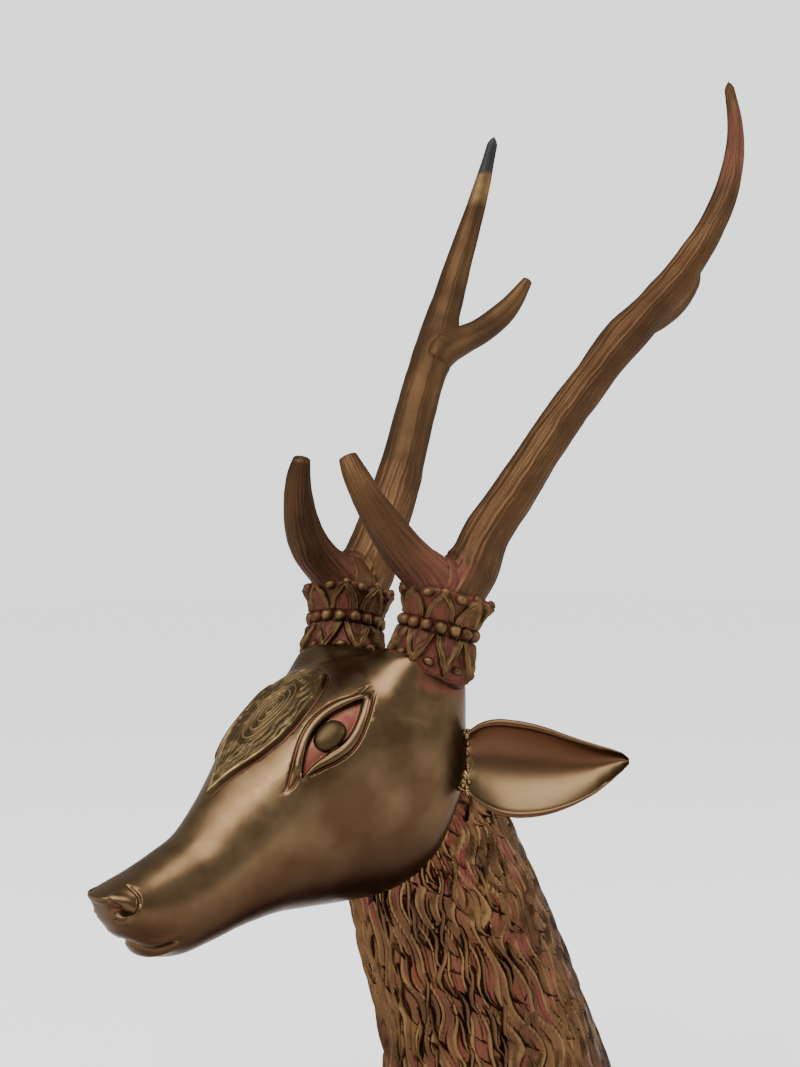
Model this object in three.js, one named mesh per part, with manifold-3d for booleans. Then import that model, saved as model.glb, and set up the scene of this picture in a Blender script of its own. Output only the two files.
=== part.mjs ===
// A bust of an antlered deer in cast bronze: a polished head on a neck of carved wavy locks,
// two antlers that rise from petalled collars, and two leaf-shaped ears.
// The head and neck are one casting, cut flat below. Each antler is cast with its collar and
// sits on the crown of the head, and each ear is cast by itself and brazed on at its root.
// Millimetres, +Z up. The deer faces -Y and its left side is +X. The origin is the middle of
// the flat underside. Shapes are drawn round the crown point, midway between the two collars.

import * as THREE from "three";
import { mergeVertices } from "three/addons/utils/BufferGeometryUtils.js";
import Module from "manifold-3d";

const wasm = await Module();
wasm.setup();

// Driving sizes
const headLength = 260; // nose tip to the back of the skull, measured level
const crownHeight = 372; // crown point above the flat underside
const crownForward = 95; // crown point ahead of the middle of the underside
const collarSpread = 88; // between the middles of the two collars
const collarRadius = 22.5; // at the waist, under the beads
const collarHeight = 44; // petal tips to petal tips
const antlerLength = 356; // collar's waist to tip, measured upright
const antlerThickness = 31; // main beam just above the fork
const earLength = 110;
const earWidth = 60;
const jointGap = 0.35; // between two castings that seat on each other

// The head and neck are drawn on a head 260 units long.
const unit = headLength / 260;

// Carving
const plaqueRise = 3.2 * unit; // forehead leaf above the skin
const loopDepth = 1.3 * unit; // of the nested drops on the leaf
const eyeSink = 3 * unit; // floor of the eye opening below the skin
const grooveDepth = 1.6 * unit;
const nostrilFloor = 7.5 * unit; // out from the middle plane
const mouthDepth = 2.6 * unit;
const lockRise = 3.4 * unit; // neck locks, ridge over valley

// How fine the facets are
const headRows = 22;
const headColumns = 22;
const neckLocks = 27; // around the neck
const neckRows = 15;

const clamp = (value, low, high) => Math.min(Math.max(value, low), high);

function smoothstep(low, high, value) {
  const share = clamp((value - low) / (high - low), 0, 1);
  return share * share * (3 - 2 * share);
}

// A smooth curve through values at evenly spaced stations, read at a share from 0 to 1.
function through(values, share) {
  const last = values.length - 1;
  const place = clamp(share, 0, 1) * last;
  const i = Math.min(Math.floor(place), last - 1);
  const f = place - i;
  const b = values[i];
  const c = values[i + 1];
  const a = i > 0 ? values[i - 1] : 2 * b - c;
  const d = i + 2 <= last ? values[i + 2] : 2 * c - b;
  return (
    b + 0.5 * f * (c - a + f * (2 * a - 5 * b + 4 * c - d + f * (3 * (b - c) + d - a)))
  );
}

function geometryOf(points, triangles) {
  const geometry = new THREE.BufferGeometry();
  const flat = points.flatMap((p) => [p.x, p.y, p.z]);
  geometry.setAttribute("position", new THREE.Float32BufferAttribute(flat, 3));
  geometry.setIndex(triangles.flat());
  return geometry;
}

// Closed rings of points, all of one length, joined into a body with a fan over each end.
function loft(rings, startPoint, endPoint) {
  const count = rings[0].length;
  const points = [startPoint, ...rings.flat(), endPoint];
  const last = points.length - 1;
  const triangles = [];
  for (let j = 0; j < count; j++) {
    const k = (j + 1) % count;
    triangles.push([0, 1 + k, 1 + j]);
    for (let i = 0; i + 1 < rings.length; i++) {
      const low = 1 + i * count;
      const high = low + count;
      triangles.push([low + j, low + k, high + k], [low + j, high + k, high + j]);
    }
    triangles.push([last - count + j, last - count + k, last]);
  }
  return geometryOf(points, triangles);
}

// Solids are joined and cut by manifold-3d, which wants merged vertices and no other data.
function solidOf(geometry) {
  const bare = new THREE.BufferGeometry();
  const source = geometry.index ? geometry.toNonIndexed() : geometry;
  bare.setAttribute("position", source.getAttribute("position"));
  const merged = mergeVertices(bare, 1e-3);
  let solid = new wasm.Manifold(
    new wasm.Mesh({
      numProp: 3,
      vertProperties: new Float32Array(merged.attributes.position.array),
      triVerts: new Uint32Array(merged.index.array),
    }),
  );
  if (solid.volume() < 0) {
    const index = merged.index.array;
    for (let i = 0; i < index.length; i += 3) {
      [index[i + 1], index[i + 2]] = [index[i + 2], index[i + 1]];
    }
    solid = new wasm.Manifold(
      new wasm.Mesh({
        numProp: 3,
        vertProperties: new Float32Array(merged.attributes.position.array),
        triVerts: new Uint32Array(index),
      }),
    );
  }
  return solid;
}

// Cuts leave a few needle-thin facets, which other programs can't read. Their short edges are
// closed up, and the long edge of a flat one is turned to join the other two corners.
const shortestEdge = 0.12;
const thinnestFacet = 0.02;

// True if a facet would turn over or fold when its corners change from one set to another.
function folds(points, before, after) {
  const [was, is] = [before, after].map((corners) =>
    new THREE.Triangle(...corners.map((corner) => points[corner])),
  );
  if (was.getArea() < 1e-3 || is.getArea() < 1e-6) return false;
  return was.getNormal(new THREE.Vector3()).dot(is.getNormal(new THREE.Vector3())) < 0.8;
}

function facetsRound(triangles) {
  const round = new Map();
  triangles.forEach((triangle, i) => {
    for (const corner of triangle) {
      if (!round.has(corner)) round.set(corner, []);
      round.get(corner).push(i);
    }
  });
  return round;
}

function closeShortEdges(points, triangles) {
  const round = facetsRound(triangles);
  const touched = new Set();
  const moved = new Map();
  const neighbours = (corner) => new Set(round.get(corner).flatMap((i) => triangles[i]));
  for (const triangle of triangles) {
    for (let k = 0; k < 3; k++) {
      const [a, b] = [triangle[k], triangle[(k + 1) % 3]];
      if (touched.has(a) || touched.has(b)) continue;
      if (points[a].distanceTo(points[b]) > shortestEdge) continue;
      const near = neighbours(a);
      const shared = [...neighbours(b)].filter((corner) => near.has(corner));
      if (shared.length !== 4) continue;
      const folded = round.get(b).some((i) => {
        const after = triangles[i].map((corner) => (corner === b ? a : corner));
        return new Set(after).size === 3 && folds(points, triangles[i], after);
      });
      if (folded) continue;
      moved.set(b, a);
      for (const corner of [...near, ...neighbours(b)]) touched.add(corner);
    }
  }
  const closed = triangles.map((triangle) => triangle.map((corner) => moved.get(corner) ?? corner));
  return closed.filter(([a, b, c]) => a !== b && b !== c && c !== a);
}

function turnLongEdges(points, triangles) {
  const round = facetsRound(triangles);
  const touched = new Set();
  const turned = [...triangles];
  triangles.forEach((triangle, i) => {
    const lengths = [0, 1, 2].map((k) =>
      points[triangle[k]].distanceTo(points[triangle[(k + 1) % 3]]),
    );
    const longest = lengths.indexOf(Math.max(...lengths));
    const [a, b, c] = [0, 1, 2].map((k) => triangle[(longest + k) % 3]);
    const area = new THREE.Triangle(points[a], points[b], points[c]).getArea();
    if ((2 * area) / lengths[longest] > thinnestFacet) return;
    const other = round.get(a).find((j) => j !== i && triangles[j].includes(b));
    const d = triangles[other].find((corner) => corner !== a && corner !== b);
    const joined = round.get(c).some((j) => triangles[j].includes(d));
    if (joined || [a, b, c, d].some((corner) => touched.has(corner))) return;
    const pair = [[a, d, c], [d, b, c]];
    if (pair.some((after) => folds(points, triangles[other], after))) return;
    [turned[i], turned[other]] = pair;
    for (const corner of [a, b, c, d]) touched.add(corner);
  });
  return turned;
}

function meshOf(name, solid, material) {
  const made = solid.getMesh();
  const at = made.vertProperties;
  const points = Array.from(
    { length: at.length / 3 },
    (_, i) => new THREE.Vector3(at[3 * i], at[3 * i + 1], at[3 * i + 2]),
  );
  let triangles = Array.from({ length: made.triVerts.length / 3 }, (_, i) => [
    ...made.triVerts.slice(3 * i, 3 * i + 3),
  ]);
  for (let pass = 0; pass < 8; pass++) {
    triangles = turnLongEdges(points, closeShortEdges(points, triangles));
  }
  const used = [...new Set(triangles.flat())];
  const place = new Map(used.map((corner, i) => [corner, i]));
  const geometry = geometryOf(
    used.map((corner) => points[corner]),
    triangles.map((triangle) => triangle.map((corner) => place.get(corner))),
  );
  geometry.computeVertexNormals();
  const mesh = new THREE.Mesh(geometry, material);
  mesh.name = name;
  return mesh;
}

const joined = (solids) => solids.reduce((whole, piece) => whole.add(piece));

// Ribs of the head from the nose to the back of the skull, in units from the crown point.
// Each rib runs from a point on the top line to one on the under line. The top and under
// numbers are how boxy each half of the section is, and lift moves its widest place up.
const ribs = [
  { top: [-216.7, -140.1], under: [-215.4, -145.6], wide: 9, topFull: 2.2, underFull: 2.2, lift: 0.25 },
  { top: [-212.3, -138.2], under: [-208.9, -158.7], wide: 15.5, topFull: 2.3, underFull: 2.1, lift: 0.2 },
  { top: [-204.4, -135.1], under: [-197.8, -169], wide: 21, topFull: 2.3, underFull: 2.1, lift: 0.12 },
  { top: [-190.6, -129.6], under: [-183.6, -179], wide: 24, topFull: 2.2, underFull: 2.1, lift: 0.08 },
  { top: [-174.7, -122.4], under: [-165.4, -181.2], wide: 26, topFull: 2.1, underFull: 2.1, lift: 0.08 },
  { top: [-157.4, -112.6], under: [-145.1, -176.9], wide: 28.5, topFull: 1.9, underFull: 2.1, lift: 0.1 },
  { top: [-143, -97], under: [-122.9, -171], wide: 33, topFull: 1.75, underFull: 2.1, lift: 0.1 },
  { top: [-124, -75.5], under: [-98.3, -166.9], wide: 42, topFull: 1.8, underFull: 2.1, lift: 0.14 },
  { top: [-100, -54], under: [-72.2, -166.7], wide: 51, topFull: 2.5, underFull: 2.1, lift: 0.16 },
  { top: [-74, -34.5], under: [-46.1, -166.9], wide: 57, topFull: 2.8, underFull: 2.1, lift: 0.14 },
  { top: [-46, -23], under: [-20.7, -165.3], wide: 61, topFull: 3, underFull: 2.2, lift: 0.1 },
  { top: [-16, -18.5], under: [1, -156.6], wide: 61, topFull: 3, underFull: 2.2, lift: 0.08 },
  { top: [8, -22], under: [14, -136], wide: 55, topFull: 2.6, underFull: 2.2, lift: 0.06 },
  { top: [26, -36], under: [24, -112], wide: 42, topFull: 2.2, underFull: 2.2, lift: 0 },
  { top: [36, -56], under: [35, -84], wide: 20, topFull: 2, underFull: 2, lift: 0 },
];
const column = (pick) => ribs.map(pick);
const headChannels = {
  topY: column((rib) => rib.top[0]),
  topZ: column((rib) => rib.top[1]),
  underY: column((rib) => rib.under[0]),
  underZ: column((rib) => rib.under[1]),
  wide: column((rib) => rib.wide),
  topFull: column((rib) => rib.topFull),
  underFull: column((rib) => rib.underFull),
  lift: column((rib) => rib.lift),
};

// The lean of the left collar, and its middle. Under it the head rises to a seat just inside
// the collar's lower edge, which hangs lower behind than in front.
const collarLean = new THREE.Euler(-0.22, 0.12, 0);
const collarX = collarSpread / 2;
const collarPlace = new THREE.Matrix4()
  .makeRotationFromEuler(collarLean)
  .setPosition(collarX, 0, 0);
const collarInverse = collarPlace.clone().invert();
const collarBehind = new THREE.Vector2(0.669, 0.743);
const skirt = 0.3; // how much taller the collar's lower half is behind than in front
const seatSunk = 3; // how far the seat stands up inside the collar's lower edge

function stretchAt(x, y) {
  const behind = (collarBehind.x * x + collarBehind.y * y) / Math.max(Math.hypot(x, y), 1e-6);
  return 1 + skirt * (0.5 + 0.5 * behind);
}

function raisedToSeat(point) {
  const local = new THREE.Vector3(Math.abs(point.x), point.y, point.z);
  local.applyMatrix4(collarInverse);
  const away = Math.hypot(local.x, local.y);
  const seat = seatSunk - (collarHeight / 2) * stretchAt(local.x, local.y);
  const share =
    smoothstep(2 * collarRadius, 1.1 * collarRadius, away) * smoothstep(-56, -36, local.z);
  local.z += Math.max(seat - local.z, 0) * share;
  local.applyMatrix4(collarPlace);
  return new THREE.Vector3(Math.sign(point.x) * local.x, local.y, local.z);
}

// A point of the bare head: share runs from nose to skull, and turn from the top line (0)
// over the left side (a quarter turn) to the under line (half a turn).
function bareHead(share, turn) {
  const at = (name) => through(headChannels[name], share);
  const cosine = Math.cos(turn);
  const sine = Math.sin(turn);
  const full = cosine >= 0 ? at("topFull") : at("underFull");
  const up = Math.sign(cosine) * Math.abs(cosine) ** (2 / full);
  const out = Math.sign(sine) * Math.abs(sine) ** (2 / full);
  const height = up + at("lift") * (1 - up * up);
  const middleY = (at("topY") + at("underY")) / 2;
  const middleZ = (at("topZ") + at("underZ")) / 2;
  const halfY = (at("topY") - at("underY")) / 2;
  const halfZ = (at("topZ") - at("underZ")) / 2;
  const point = new THREE.Vector3(
    at("wide") * out * unit,
    (middleY + halfY * height) * unit,
    (middleZ + halfZ * height) * unit,
  );
  return raisedToSeat(point);
}

function bareHeadNormal(share, turn) {
  const step = 0.004;
  const low = clamp(share - step, 0, 1);
  const high = clamp(share + step, 0, 1);
  const along = bareHead(high, turn).sub(bareHead(low, turn));
  const across = bareHead(share, turn + step).sub(bareHead(share, turn - step));
  return across.cross(along).normalize();
}

// The head grown outwards, or shrunk by a negative amount, as one closed body.
function headSolid(grow) {
  const rings = [];
  for (let i = 1; i < headRows; i++) {
    const ring = [];
    for (let j = 0; j < headColumns; j++) {
      const turn = ((j + 0.5) / headColumns) * 2 * Math.PI;
      const point = bareHead(i / headRows, turn);
      ring.push(point.addScaledVector(bareHeadNormal(i / headRows, turn), grow));
    }
    rings.push(ring);
  }
  const start = noseEnd.clone().add(new THREE.Vector3(0, -grow, 0));
  const end = skullEnd.clone().add(new THREE.Vector3(0, grow, 0));
  return solidOf(loft(rings, start, end));
}

// A straight-sided body over a flat outline. The outline is drawn along two axes from a
// middle point and pushed out along their normal from one depth to another.
function prism(outline, { middle, along, across, from, to }) {
  const shape = new THREE.Shape(outline.map(([p, q]) => new THREE.Vector2(p * unit, q * unit)));
  const geometry = new THREE.ExtrudeGeometry(shape, { depth: to - from, bevelEnabled: false });
  const outwards = new THREE.Vector3().crossVectors(along, across);
  const place = new THREE.Matrix4().makeBasis(along, across, outwards);
  place.setPosition(middle.clone().addScaledVector(outwards, from));
  return solidOf(geometry.applyMatrix4(place));
}

// The outline of a groove: a line of points widened to both sides and pointed at its ends.
function groove(line, halfWidth) {
  const left = [];
  const right = [];
  for (let i = 1; i < line.length - 1; i++) {
    const [dx, dy] = [line[i + 1][0] - line[i - 1][0], line[i + 1][1] - line[i - 1][1]];
    const share = halfWidth / Math.hypot(dx, dy);
    left.push([line[i][0] - dy * share, line[i][1] + dx * share]);
    right.unshift([line[i][0] + dy * share, line[i][1] - dx * share]);
  }
  return [line[0], ...left, line[line.length - 1], ...right];
}

// The forehead leaf, seen along the normal of the forehead: along runs up from its tip.
const leafFrame = {
  middle: new THREE.Vector3(0, -141, -94.4).multiplyScalar(unit),
  along: new THREE.Vector3(0, 0.753, 0.658).normalize(),
  across: new THREE.Vector3(-1, 0, 0),
  from: -40,
  to: 60,
};
const leafSide = [
  [9, 3.5], [17, 7.5], [33, 17], [48, 23.5], [60, 25], [72, 24], [82, 22.5], [93, 18], [100, 12],
];
const leafTop = 107;
const leafOutline = [[0, 0], ...leafSide, [leafTop, 0], ...leafSide.map(([p, q]) => [p, -q]).reverse()];
const leafEye = 68; // middle of the nested drops
const dropOutline = (reach) =>
  Array.from({ length: 10 }, (_, i) => {
    const turn = (i / 10) * 2 * Math.PI;
    const pull = Math.cos(turn) > 0 ? 1.2 : 1.15;
    return [leafEye + reach * pull * Math.cos(turn), reach * 0.8 * Math.sin(turn)];
  });
const dropReaches = [19, 13, 7]; // outlines of the raised and sunk loops

// The left eye, seen along its own outward direction: along runs from inner to outer corner.
const eyeAlong = new THREE.Vector3(0.091, 0.688, 0.72).normalize();
const eyeUp = new THREE.Vector3(-0.732, -0.444, 0.517);
eyeUp.addScaledVector(eyeAlong, -eyeUp.dot(eyeAlong)).normalize();
const eyeOut = new THREE.Vector3().crossVectors(eyeAlong, eyeUp);
const eyeFrame = {
  middle: new THREE.Vector3(45.1, -87.8, -57.9).multiplyScalar(unit),
  along: eyeAlong,
  across: eyeUp,
  from: -22,
  to: 30,
};
const eyeOpening = [
  [-28.5, -2], [-19.9, 4.7], [-6.8, 10], [7, 9.7], [18.7, 5.3], [30.3, -1.5], [18.4, -8.8],
  [8.7, -10.9], [-0.1, -10.9], [-7.6, -8.4], [-14.7, -4.9], [-22, -2.8],
];
const upperGroove = [
  [-39.5, 1.4], [-22.5, 8.7], [-10.6, 12.9], [1.8, 14.8], [18.8, 10.9], [25.4, 7.2],
  [30.6, 2.8], [39.8, 1.4],
];
const lowerGroove = [
  [-25, -6.4], [-16.1, -9.8], [-9.1, -13.7], [-2.2, -15.4], [4.6, -15.9], [12.2, -15],
  [22.5, -11.8], [38.9, -4.8],
];

// Nose and mouth, seen from the left side: along runs to the back and across runs up.
const sideFrame = {
  middle: new THREE.Vector3(0, 0, 0),
  along: new THREE.Vector3(0, 1, 0),
  across: new THREE.Vector3(0, 0, 1),
  from: 3,
  to: 40,
};
const nostrilOutline = [
  [-217, -141.5], [-214.5, -145.5], [-211.5, -149], [-208.7, -150.6], [-206.8, -148],
  [-208.5, -144.8], [-212, -142.3],
];
const nostrilCurl = [
  [-202.6, -136.5], [-201.3, -142], [-203.6, -148.9], [-206.8, -153.6], [-210, -155.2],
  [-213.6, -152.4], [-216.4, -148],
];
const mouthLine = [
  [-206, -166], [-199, -168.6], [-195.7, -170.4], [-192, -171.3], [-188.1, -171.6],
  [-184.1, -170], [-177.5, -168.6],
];

const noseEnd = new THREE.Vector3(0, -218.5, -142.5).multiplyScalar(unit);
const skullEnd = new THREE.Vector3(0, 40, -70).multiplyScalar(unit);

// The neck: rings of a leaning oval, evenly spaced from its top inside the head to the
// underside. Each station gives the ring's middle, and half its depth and width.
const neckTop = -30 * unit;
const neckStations = [
  { y: -8, deep: 28, wide: 26 },
  { y: 3, deep: 44, wide: 38 },
  { y: 22, deep: 57, wide: 46 },
  { y: 41, deep: 66, wide: 51 },
  { y: 58, deep: 71.5, wide: 55 },
  { y: 76, deep: 75.5, wide: 58 },
  { y: 91.5, deep: 81, wide: 62 },
  { y: 96, deep: 92, wide: 68 },
  { y: 95, deep: 107, wide: 76 },
];
const neckY = neckStations.map((station) => station.y * unit);
const neckDeep = neckStations.map((station) => station.deep * unit);
const neckWide = neckStations.map((station) => station.wide * unit);

// Wavy locks: ridge and valley lines that swing from side to side on their way down, each
// ridge swelling and dying away in turn with its neighbours.
function neckRing(row, grow) {
  const share = row / neckRows;
  const z = neckTop + share * (-crownHeight - neckTop);
  const ring = [];
  for (let j = 0; j < neckLocks * 2; j++) {
    const onRidge = j % 2 === 0;
    const swing = 0.075 * Math.sin(row * 1.9 + Math.floor(j / 2) * 0.7);
    const turn = ((j + 0.5) / neckLocks) * Math.PI + swing;
    const phase = (row + 2 * (Math.floor(j / 2) % 2)) % 4;
    const swell = onRidge ? [1, 0.85, 0.3, 0.65][phase] : 0;
    const rise = lockRise * (swell - 0.6) * smoothstep(0, 0.12, share) + grow;
    ring.push(
      new THREE.Vector3(
        (through(neckWide, share) + rise) * Math.sin(turn),
        through(neckY, share) - (through(neckDeep, share) + rise) * Math.cos(turn),
        z,
      ),
    );
  }
  return ring;
}

function neckSolid(grow) {
  const rings = [];
  for (let row = 0; row <= neckRows; row++) rings.push(neckRing(row, grow));
  const start = new THREE.Vector3(0, neckY[0], neckTop);
  const end = new THREE.Vector3(0, neckY[neckY.length - 1], -crownHeight);
  return solidOf(loft(rings, start, end));
}

const mirrored = (solid) => solid.mirror([1, 0, 0]);

// Both sides of something cut or raised on the left of the head.
const bothSides = (solid) => solid.add(mirrored(solid));

function carvedHead() {
  const leaf = prism(leafOutline, leafFrame);
  const drops = dropReaches.map((reach) => prism(dropOutline(reach), leafFrame));
  const sunkLoops = drops[0].subtract(drops[1]).add(drops[2]);
  const opening = prism(eyeOpening, eyeFrame);
  const lines = prism(groove(upperGroove, 1.6), eyeFrame).add(
    prism(groove(lowerGroove, 1.5), eyeFrame),
  );
  const nostril = prism(nostrilOutline, { ...sideFrame, from: nostrilFloor });
  const fine = prism(groove(nostrilCurl, 1.5), sideFrame);
  const mouth = prism(groove(mouthLine, 1.4), { ...sideFrame, from: -1 });

  const ball = new THREE.IcosahedronGeometry(1, 1);
  ball.scale(13 * unit, 9.4 * unit, 6.5 * unit);
  const place = new THREE.Matrix4().makeBasis(eyeAlong, eyeUp, eyeOut);
  place.setPosition(eyeFrame.middle.clone().addScaledVector(eyeOut, -3.5 * unit));
  const eyeball = solidOf(ball.applyMatrix4(place));

  const raisedLeaf = leaf.intersect(headSolid(plaqueRise));
  const scored = headSolid(-grooveDepth);
  return headSolid(0)
    .subtract(bothSides(lines.add(fine)).subtract(scored))
    .subtract(bothSides(opening).subtract(headSolid(-eyeSink)))
    .subtract(bothSides(mouth).subtract(headSolid(-mouthDepth)))
    .subtract(bothSides(nostril))
    .add(raisedLeaf)
    .subtract(sunkLoops.subtract(headSolid(plaqueRise - loopDepth)))
    .add(bothSides(eyeball));
}

// Antlers. The left antler's main beam, brow tine and back tine, from the crown point.
const antlerScale = antlerLength / 356;
const onBeam = (points) =>
  points.map(
    ([x, y, z]) => new THREE.Vector3(collarX + x, y, z * antlerScale),
  );
const beamLine = onBeam([
  [2, -2, -14], [3, 4, 12], [5, 21, 32], [6, 34, 56], [13, 53, 84], [21, 71, 113],
  [31, 89, 141], [41, 108, 168], [53, 128, 195], [64, 149, 221], [73, 168, 250],
  [77, 185, 283], [74, 197, 320], [65, 201, 356],
]);
const beamWidths = [1, 1.05, 1.12, 1.02, 0.94, 0.88, 0.86, 0.82, 0.78, 0.73, 0.64, 0.55, 0.4, 0.22];
const browLine = onBeam([
  [0, -2, -14], [0, -1, 6], [0.5, -9, 28], [-1, -31, 50], [-9, -46, 74], [-16.5, -52.5, 92],
  [-22.5, -54.5, 104.5],
]);
const browWidths = [0.9, 0.9, 0.95, 0.88, 0.7, 0.57, 0.4];
// A short trunk fills the fork between them.
const trunkLine = onBeam([[1, 2, -14], [1, 2, 8], [2, 4, 28], [2.5, 5, 43]]);
const trunkWidths = [1.1, 1.25, 1.12, 0.4];
const backLine = onBeam([
  [38, 102, 170], [42, 122, 184], [43, 146, 196], [42, 168, 207], [39, 190, 224], [35, 207, 246],
]);
const backWidths = [0.5, 0.72, 0.7, 0.68, 0.58, 0.26];
const beamOval = 1.16; // how much deeper the beams are than they are wide

// A round, fluted horn along a line of points, closed to a blunt tip.
function horn(points, widths, rows, sides, fluteDepth, oval) {
  const curve = new THREE.CatmullRomCurve3(points, false, "centripetal");
  const rings = [];
  let across = new THREE.Vector3(0.669, 0.743, 0);
  for (let i = 0; i <= rows; i++) {
    const share = i / rows;
    const middle = curve.getPoint(share);
    const ahead = curve.getTangent(share);
    across = across.clone().addScaledVector(ahead, -across.dot(ahead)).normalize();
    const aside = new THREE.Vector3().crossVectors(ahead, across);
    const radius = (through(widths, share) * antlerThickness) / 2;
    const ring = [];
    for (let j = 0; j < sides; j++) {
      const turn = (j / sides) * 2 * Math.PI;
      const flute = j % 2 === 0 ? fluteDepth * Math.min(1, radius / 8) : 0;
      const reach = radius - flute;
      ring.push(
        middle
          .clone()
          .addScaledVector(across, reach * Math.cos(turn))
          .addScaledVector(aside, reach * oval * Math.sin(turn)),
      );
    }
    rings.push(ring);
  }
  const tip = curve.getPoint(1).addScaledVector(curve.getTangent(1), 1.5);
  return solidOf(loft(rings, curve.getPoint(0), tip));
}

// The collar: a waisted band, carved in one with a row of pointed petals above, a ring of
// beads at its waist, a row of petals below, and a bud between each pair of petal tips.
const petalCount = 8;
const beadCount = 16;
const beadRise = 3.6;
const petalRise = 2.6;
const collarColumns = petalCount * 6;

// One row of the collar: its height and bare radius, how much of its pitch a petal fills, how
// far the petal's edges and the bud between two petals stand up, and by how many petals the
// row is turned.
const collarHalf = collarHeight / 2;
const petalRow = (height, radius, edge, rise, bud, offset) => ({ height, radius, edge, rise, bud, offset });
const collarRows = [
  petalRow(-collarHalf - 4, collarRadius, 0.5, 0, 0, 0.5),
  petalRow(-collarHalf, collarRadius + 2.6, 0.12, petalRise * 0.7, 3, 0.5),
  petalRow(-collarHalf + 5, collarRadius + 2.4, 0.3, petalRise, 2.6, 0.5),
  petalRow(-collarHalf + 11, collarRadius + 1.2, 0.6, petalRise, 0, 0.5),
  petalRow(-4.4, collarRadius - 0.6, 0.86, petalRise, 0, 0.5),
  { height: 0, radius: collarRadius },
  petalRow(4.4, collarRadius - 0.6, 0.86, petalRise, 0, 0),
  petalRow(collarHalf - 11, collarRadius + 1.4, 0.6, petalRise, 0, 0),
  petalRow(collarHalf - 5, collarRadius + 3.6, 0.3, petalRise, 2.6, 0),
  petalRow(collarHalf, collarRadius + 5, 0.12, petalRise * 0.7, 3.4, 0),
  petalRow(collarHalf + 1, collarRadius - 3, 0.5, 0, 0, 0),
];

function collarSolid() {
  const rings = collarRows.map((row) => {
    const ring = [];
    for (let j = 0; j < collarColumns; j++) {
      const inBead = j % (collarColumns / beadCount);
      let place = j / 6;
      let rise = inBead === 1 ? beadRise : 0;
      if (row.edge) {
        const k = j % 6;
        const side = k <= 3 ? k : k - 6;
        const shares = [0, row.edge * 0.55, row.edge, 1];
        place = (j - k) / 6 + (side < 0 ? 1 : 0) + 0.5 * Math.sign(side) * shares[Math.abs(side)];
        place += row.offset;
        rise = [row.rise * 0.55, row.rise, 0, row.bud][Math.abs(side)];
      }
      const turn = (place / petalCount) * 2 * Math.PI;
      const reach = row.radius + rise;
      const x = reach * Math.sin(turn);
      const y = -reach * Math.cos(turn);
      const z = row.height * (row.height < 0 ? stretchAt(x, y) : 1);
      ring.push(new THREE.Vector3(x, y, z));
    }
    return ring;
  });
  return solidOf(
    loft(rings, new THREE.Vector3(0, 0, -collarHalf - 4), new THREE.Vector3(0, 0, collarHalf + 1)),
  );
}

function antlerSolid(seat) {
  const collar = collarSolid().transform(collarPlace.elements);
  const beam = horn(beamLine, beamWidths, 16, 12, 0.9, beamOval);
  const brow = horn(browLine, browWidths, 7, 10, 0.8, 1);
  const back = horn(backLine, backWidths, 6, 8, 0.7, 1);
  const trunk = horn(trunkLine, trunkWidths, 4, 10, 0.6, 1);
  return joined([collar, trunk, beam, brow, back]).subtract(seat);
}

// Ears. The left ear's root, the way it points, and the way its hollow faces. Each station
// gives how far out it lies, and the heights of its upper and lower edge.
const earRoot = new THREE.Vector3(50, 2, 0).multiplyScalar(unit);
const earAlong = new THREE.Vector3(0.7, 0.714, 0).normalize();
const earOut = new THREE.Vector3(0.714, -0.7, 0).normalize();
const earStations = [
  [0, -72, -95], [10, -65, -99.5], [20, -58.5, -107.5], [30, -56.3, -112.8], [40, -57, -114.8],
  [50, -58.6, -114.6], [60, -61.2, -113], [70, -64.7, -109.9], [80, -68, -105.5],
  [90, -71, -99.9], [99, -73.4, -93], [106, -75.8, -86.8], [110, -79, -82.6],
];
const earWall = 4.5;
const earHollow = 14;
const earDroop = 0.25; // how far forward the lower edge comes, by its height

function earSolid(seat) {
  const around = 6;
  const rings = [];
  for (const [out, top, bottom] of earStations) {
    const half = ((top - bottom) / 2) * (earWidth / 58) * unit;
    const height = ((top + bottom) / 2) * unit;
    const hollow = earHollow * Math.sqrt(half / (earWidth / 2));
    const middle = earRoot.clone().addScaledVector(earAlong, (out / 110) * earLength);
    const ring = [];
    const place = (across, depth) =>
      middle
        .clone()
        .add(new THREE.Vector3(0, 0, height + half * across))
        .addScaledVector(earOut, -depth - earDroop * half * across);
    for (let j = 0; j <= around; j++) {
      const across = -0.9 + (1.8 * j) / around;
      ring.push(place(across, hollow * (1 - across ** 2)));
    }
    for (let j = 0; j <= around; j++) {
      const across = 1 - (2 * j) / around;
      ring.push(place(across, 1.8 + (hollow + earWall) * (1 - Math.abs(across) ** 2.2)));
    }
    rings.push(ring);
  }
  const [start, end] = [rings[0], rings[rings.length - 1]].map((ring) =>
    ring.reduce((sum, point) => sum.add(point), new THREE.Vector3()).divideScalar(ring.length),
  );
  end.addScaledVector(earAlong, 1.5);
  return solidOf(loft(rings, start, end)).subtract(seat);
}

const bronze = {
  polished: new THREE.MeshStandardMaterial({ color: 0x6b4a30, roughness: 0.32, metalness: 1 }),
  patinated: new THREE.MeshStandardMaterial({ color: 0x70502f, roughness: 0.5, metalness: 1 }),
  rubbed: new THREE.MeshStandardMaterial({ color: 0x8a6540, roughness: 0.3, metalness: 1 }),
};

const head = carvedHead();
const neck = neckSolid(0);
const seat = bothSides(headSolid(jointGap).add(neckSolid(jointGap)));
const antler = antlerSolid(seat);
const ear = earSolid(seat);

const crown = new THREE.Group();
crown.position.set(0, -crownForward, crownHeight);
crown.add(
  meshOf("head_and_neck", head.add(neck), bronze.polished),
  meshOf("left_antler", antler, bronze.patinated),
  meshOf("right_antler", mirrored(antler), bronze.patinated),
  meshOf("left_ear", ear, bronze.rubbed),
  meshOf("right_ear", mirrored(ear), bronze.rubbed),
);

const bust = new THREE.Group();
bust.add(crown);

export default bust;
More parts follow.
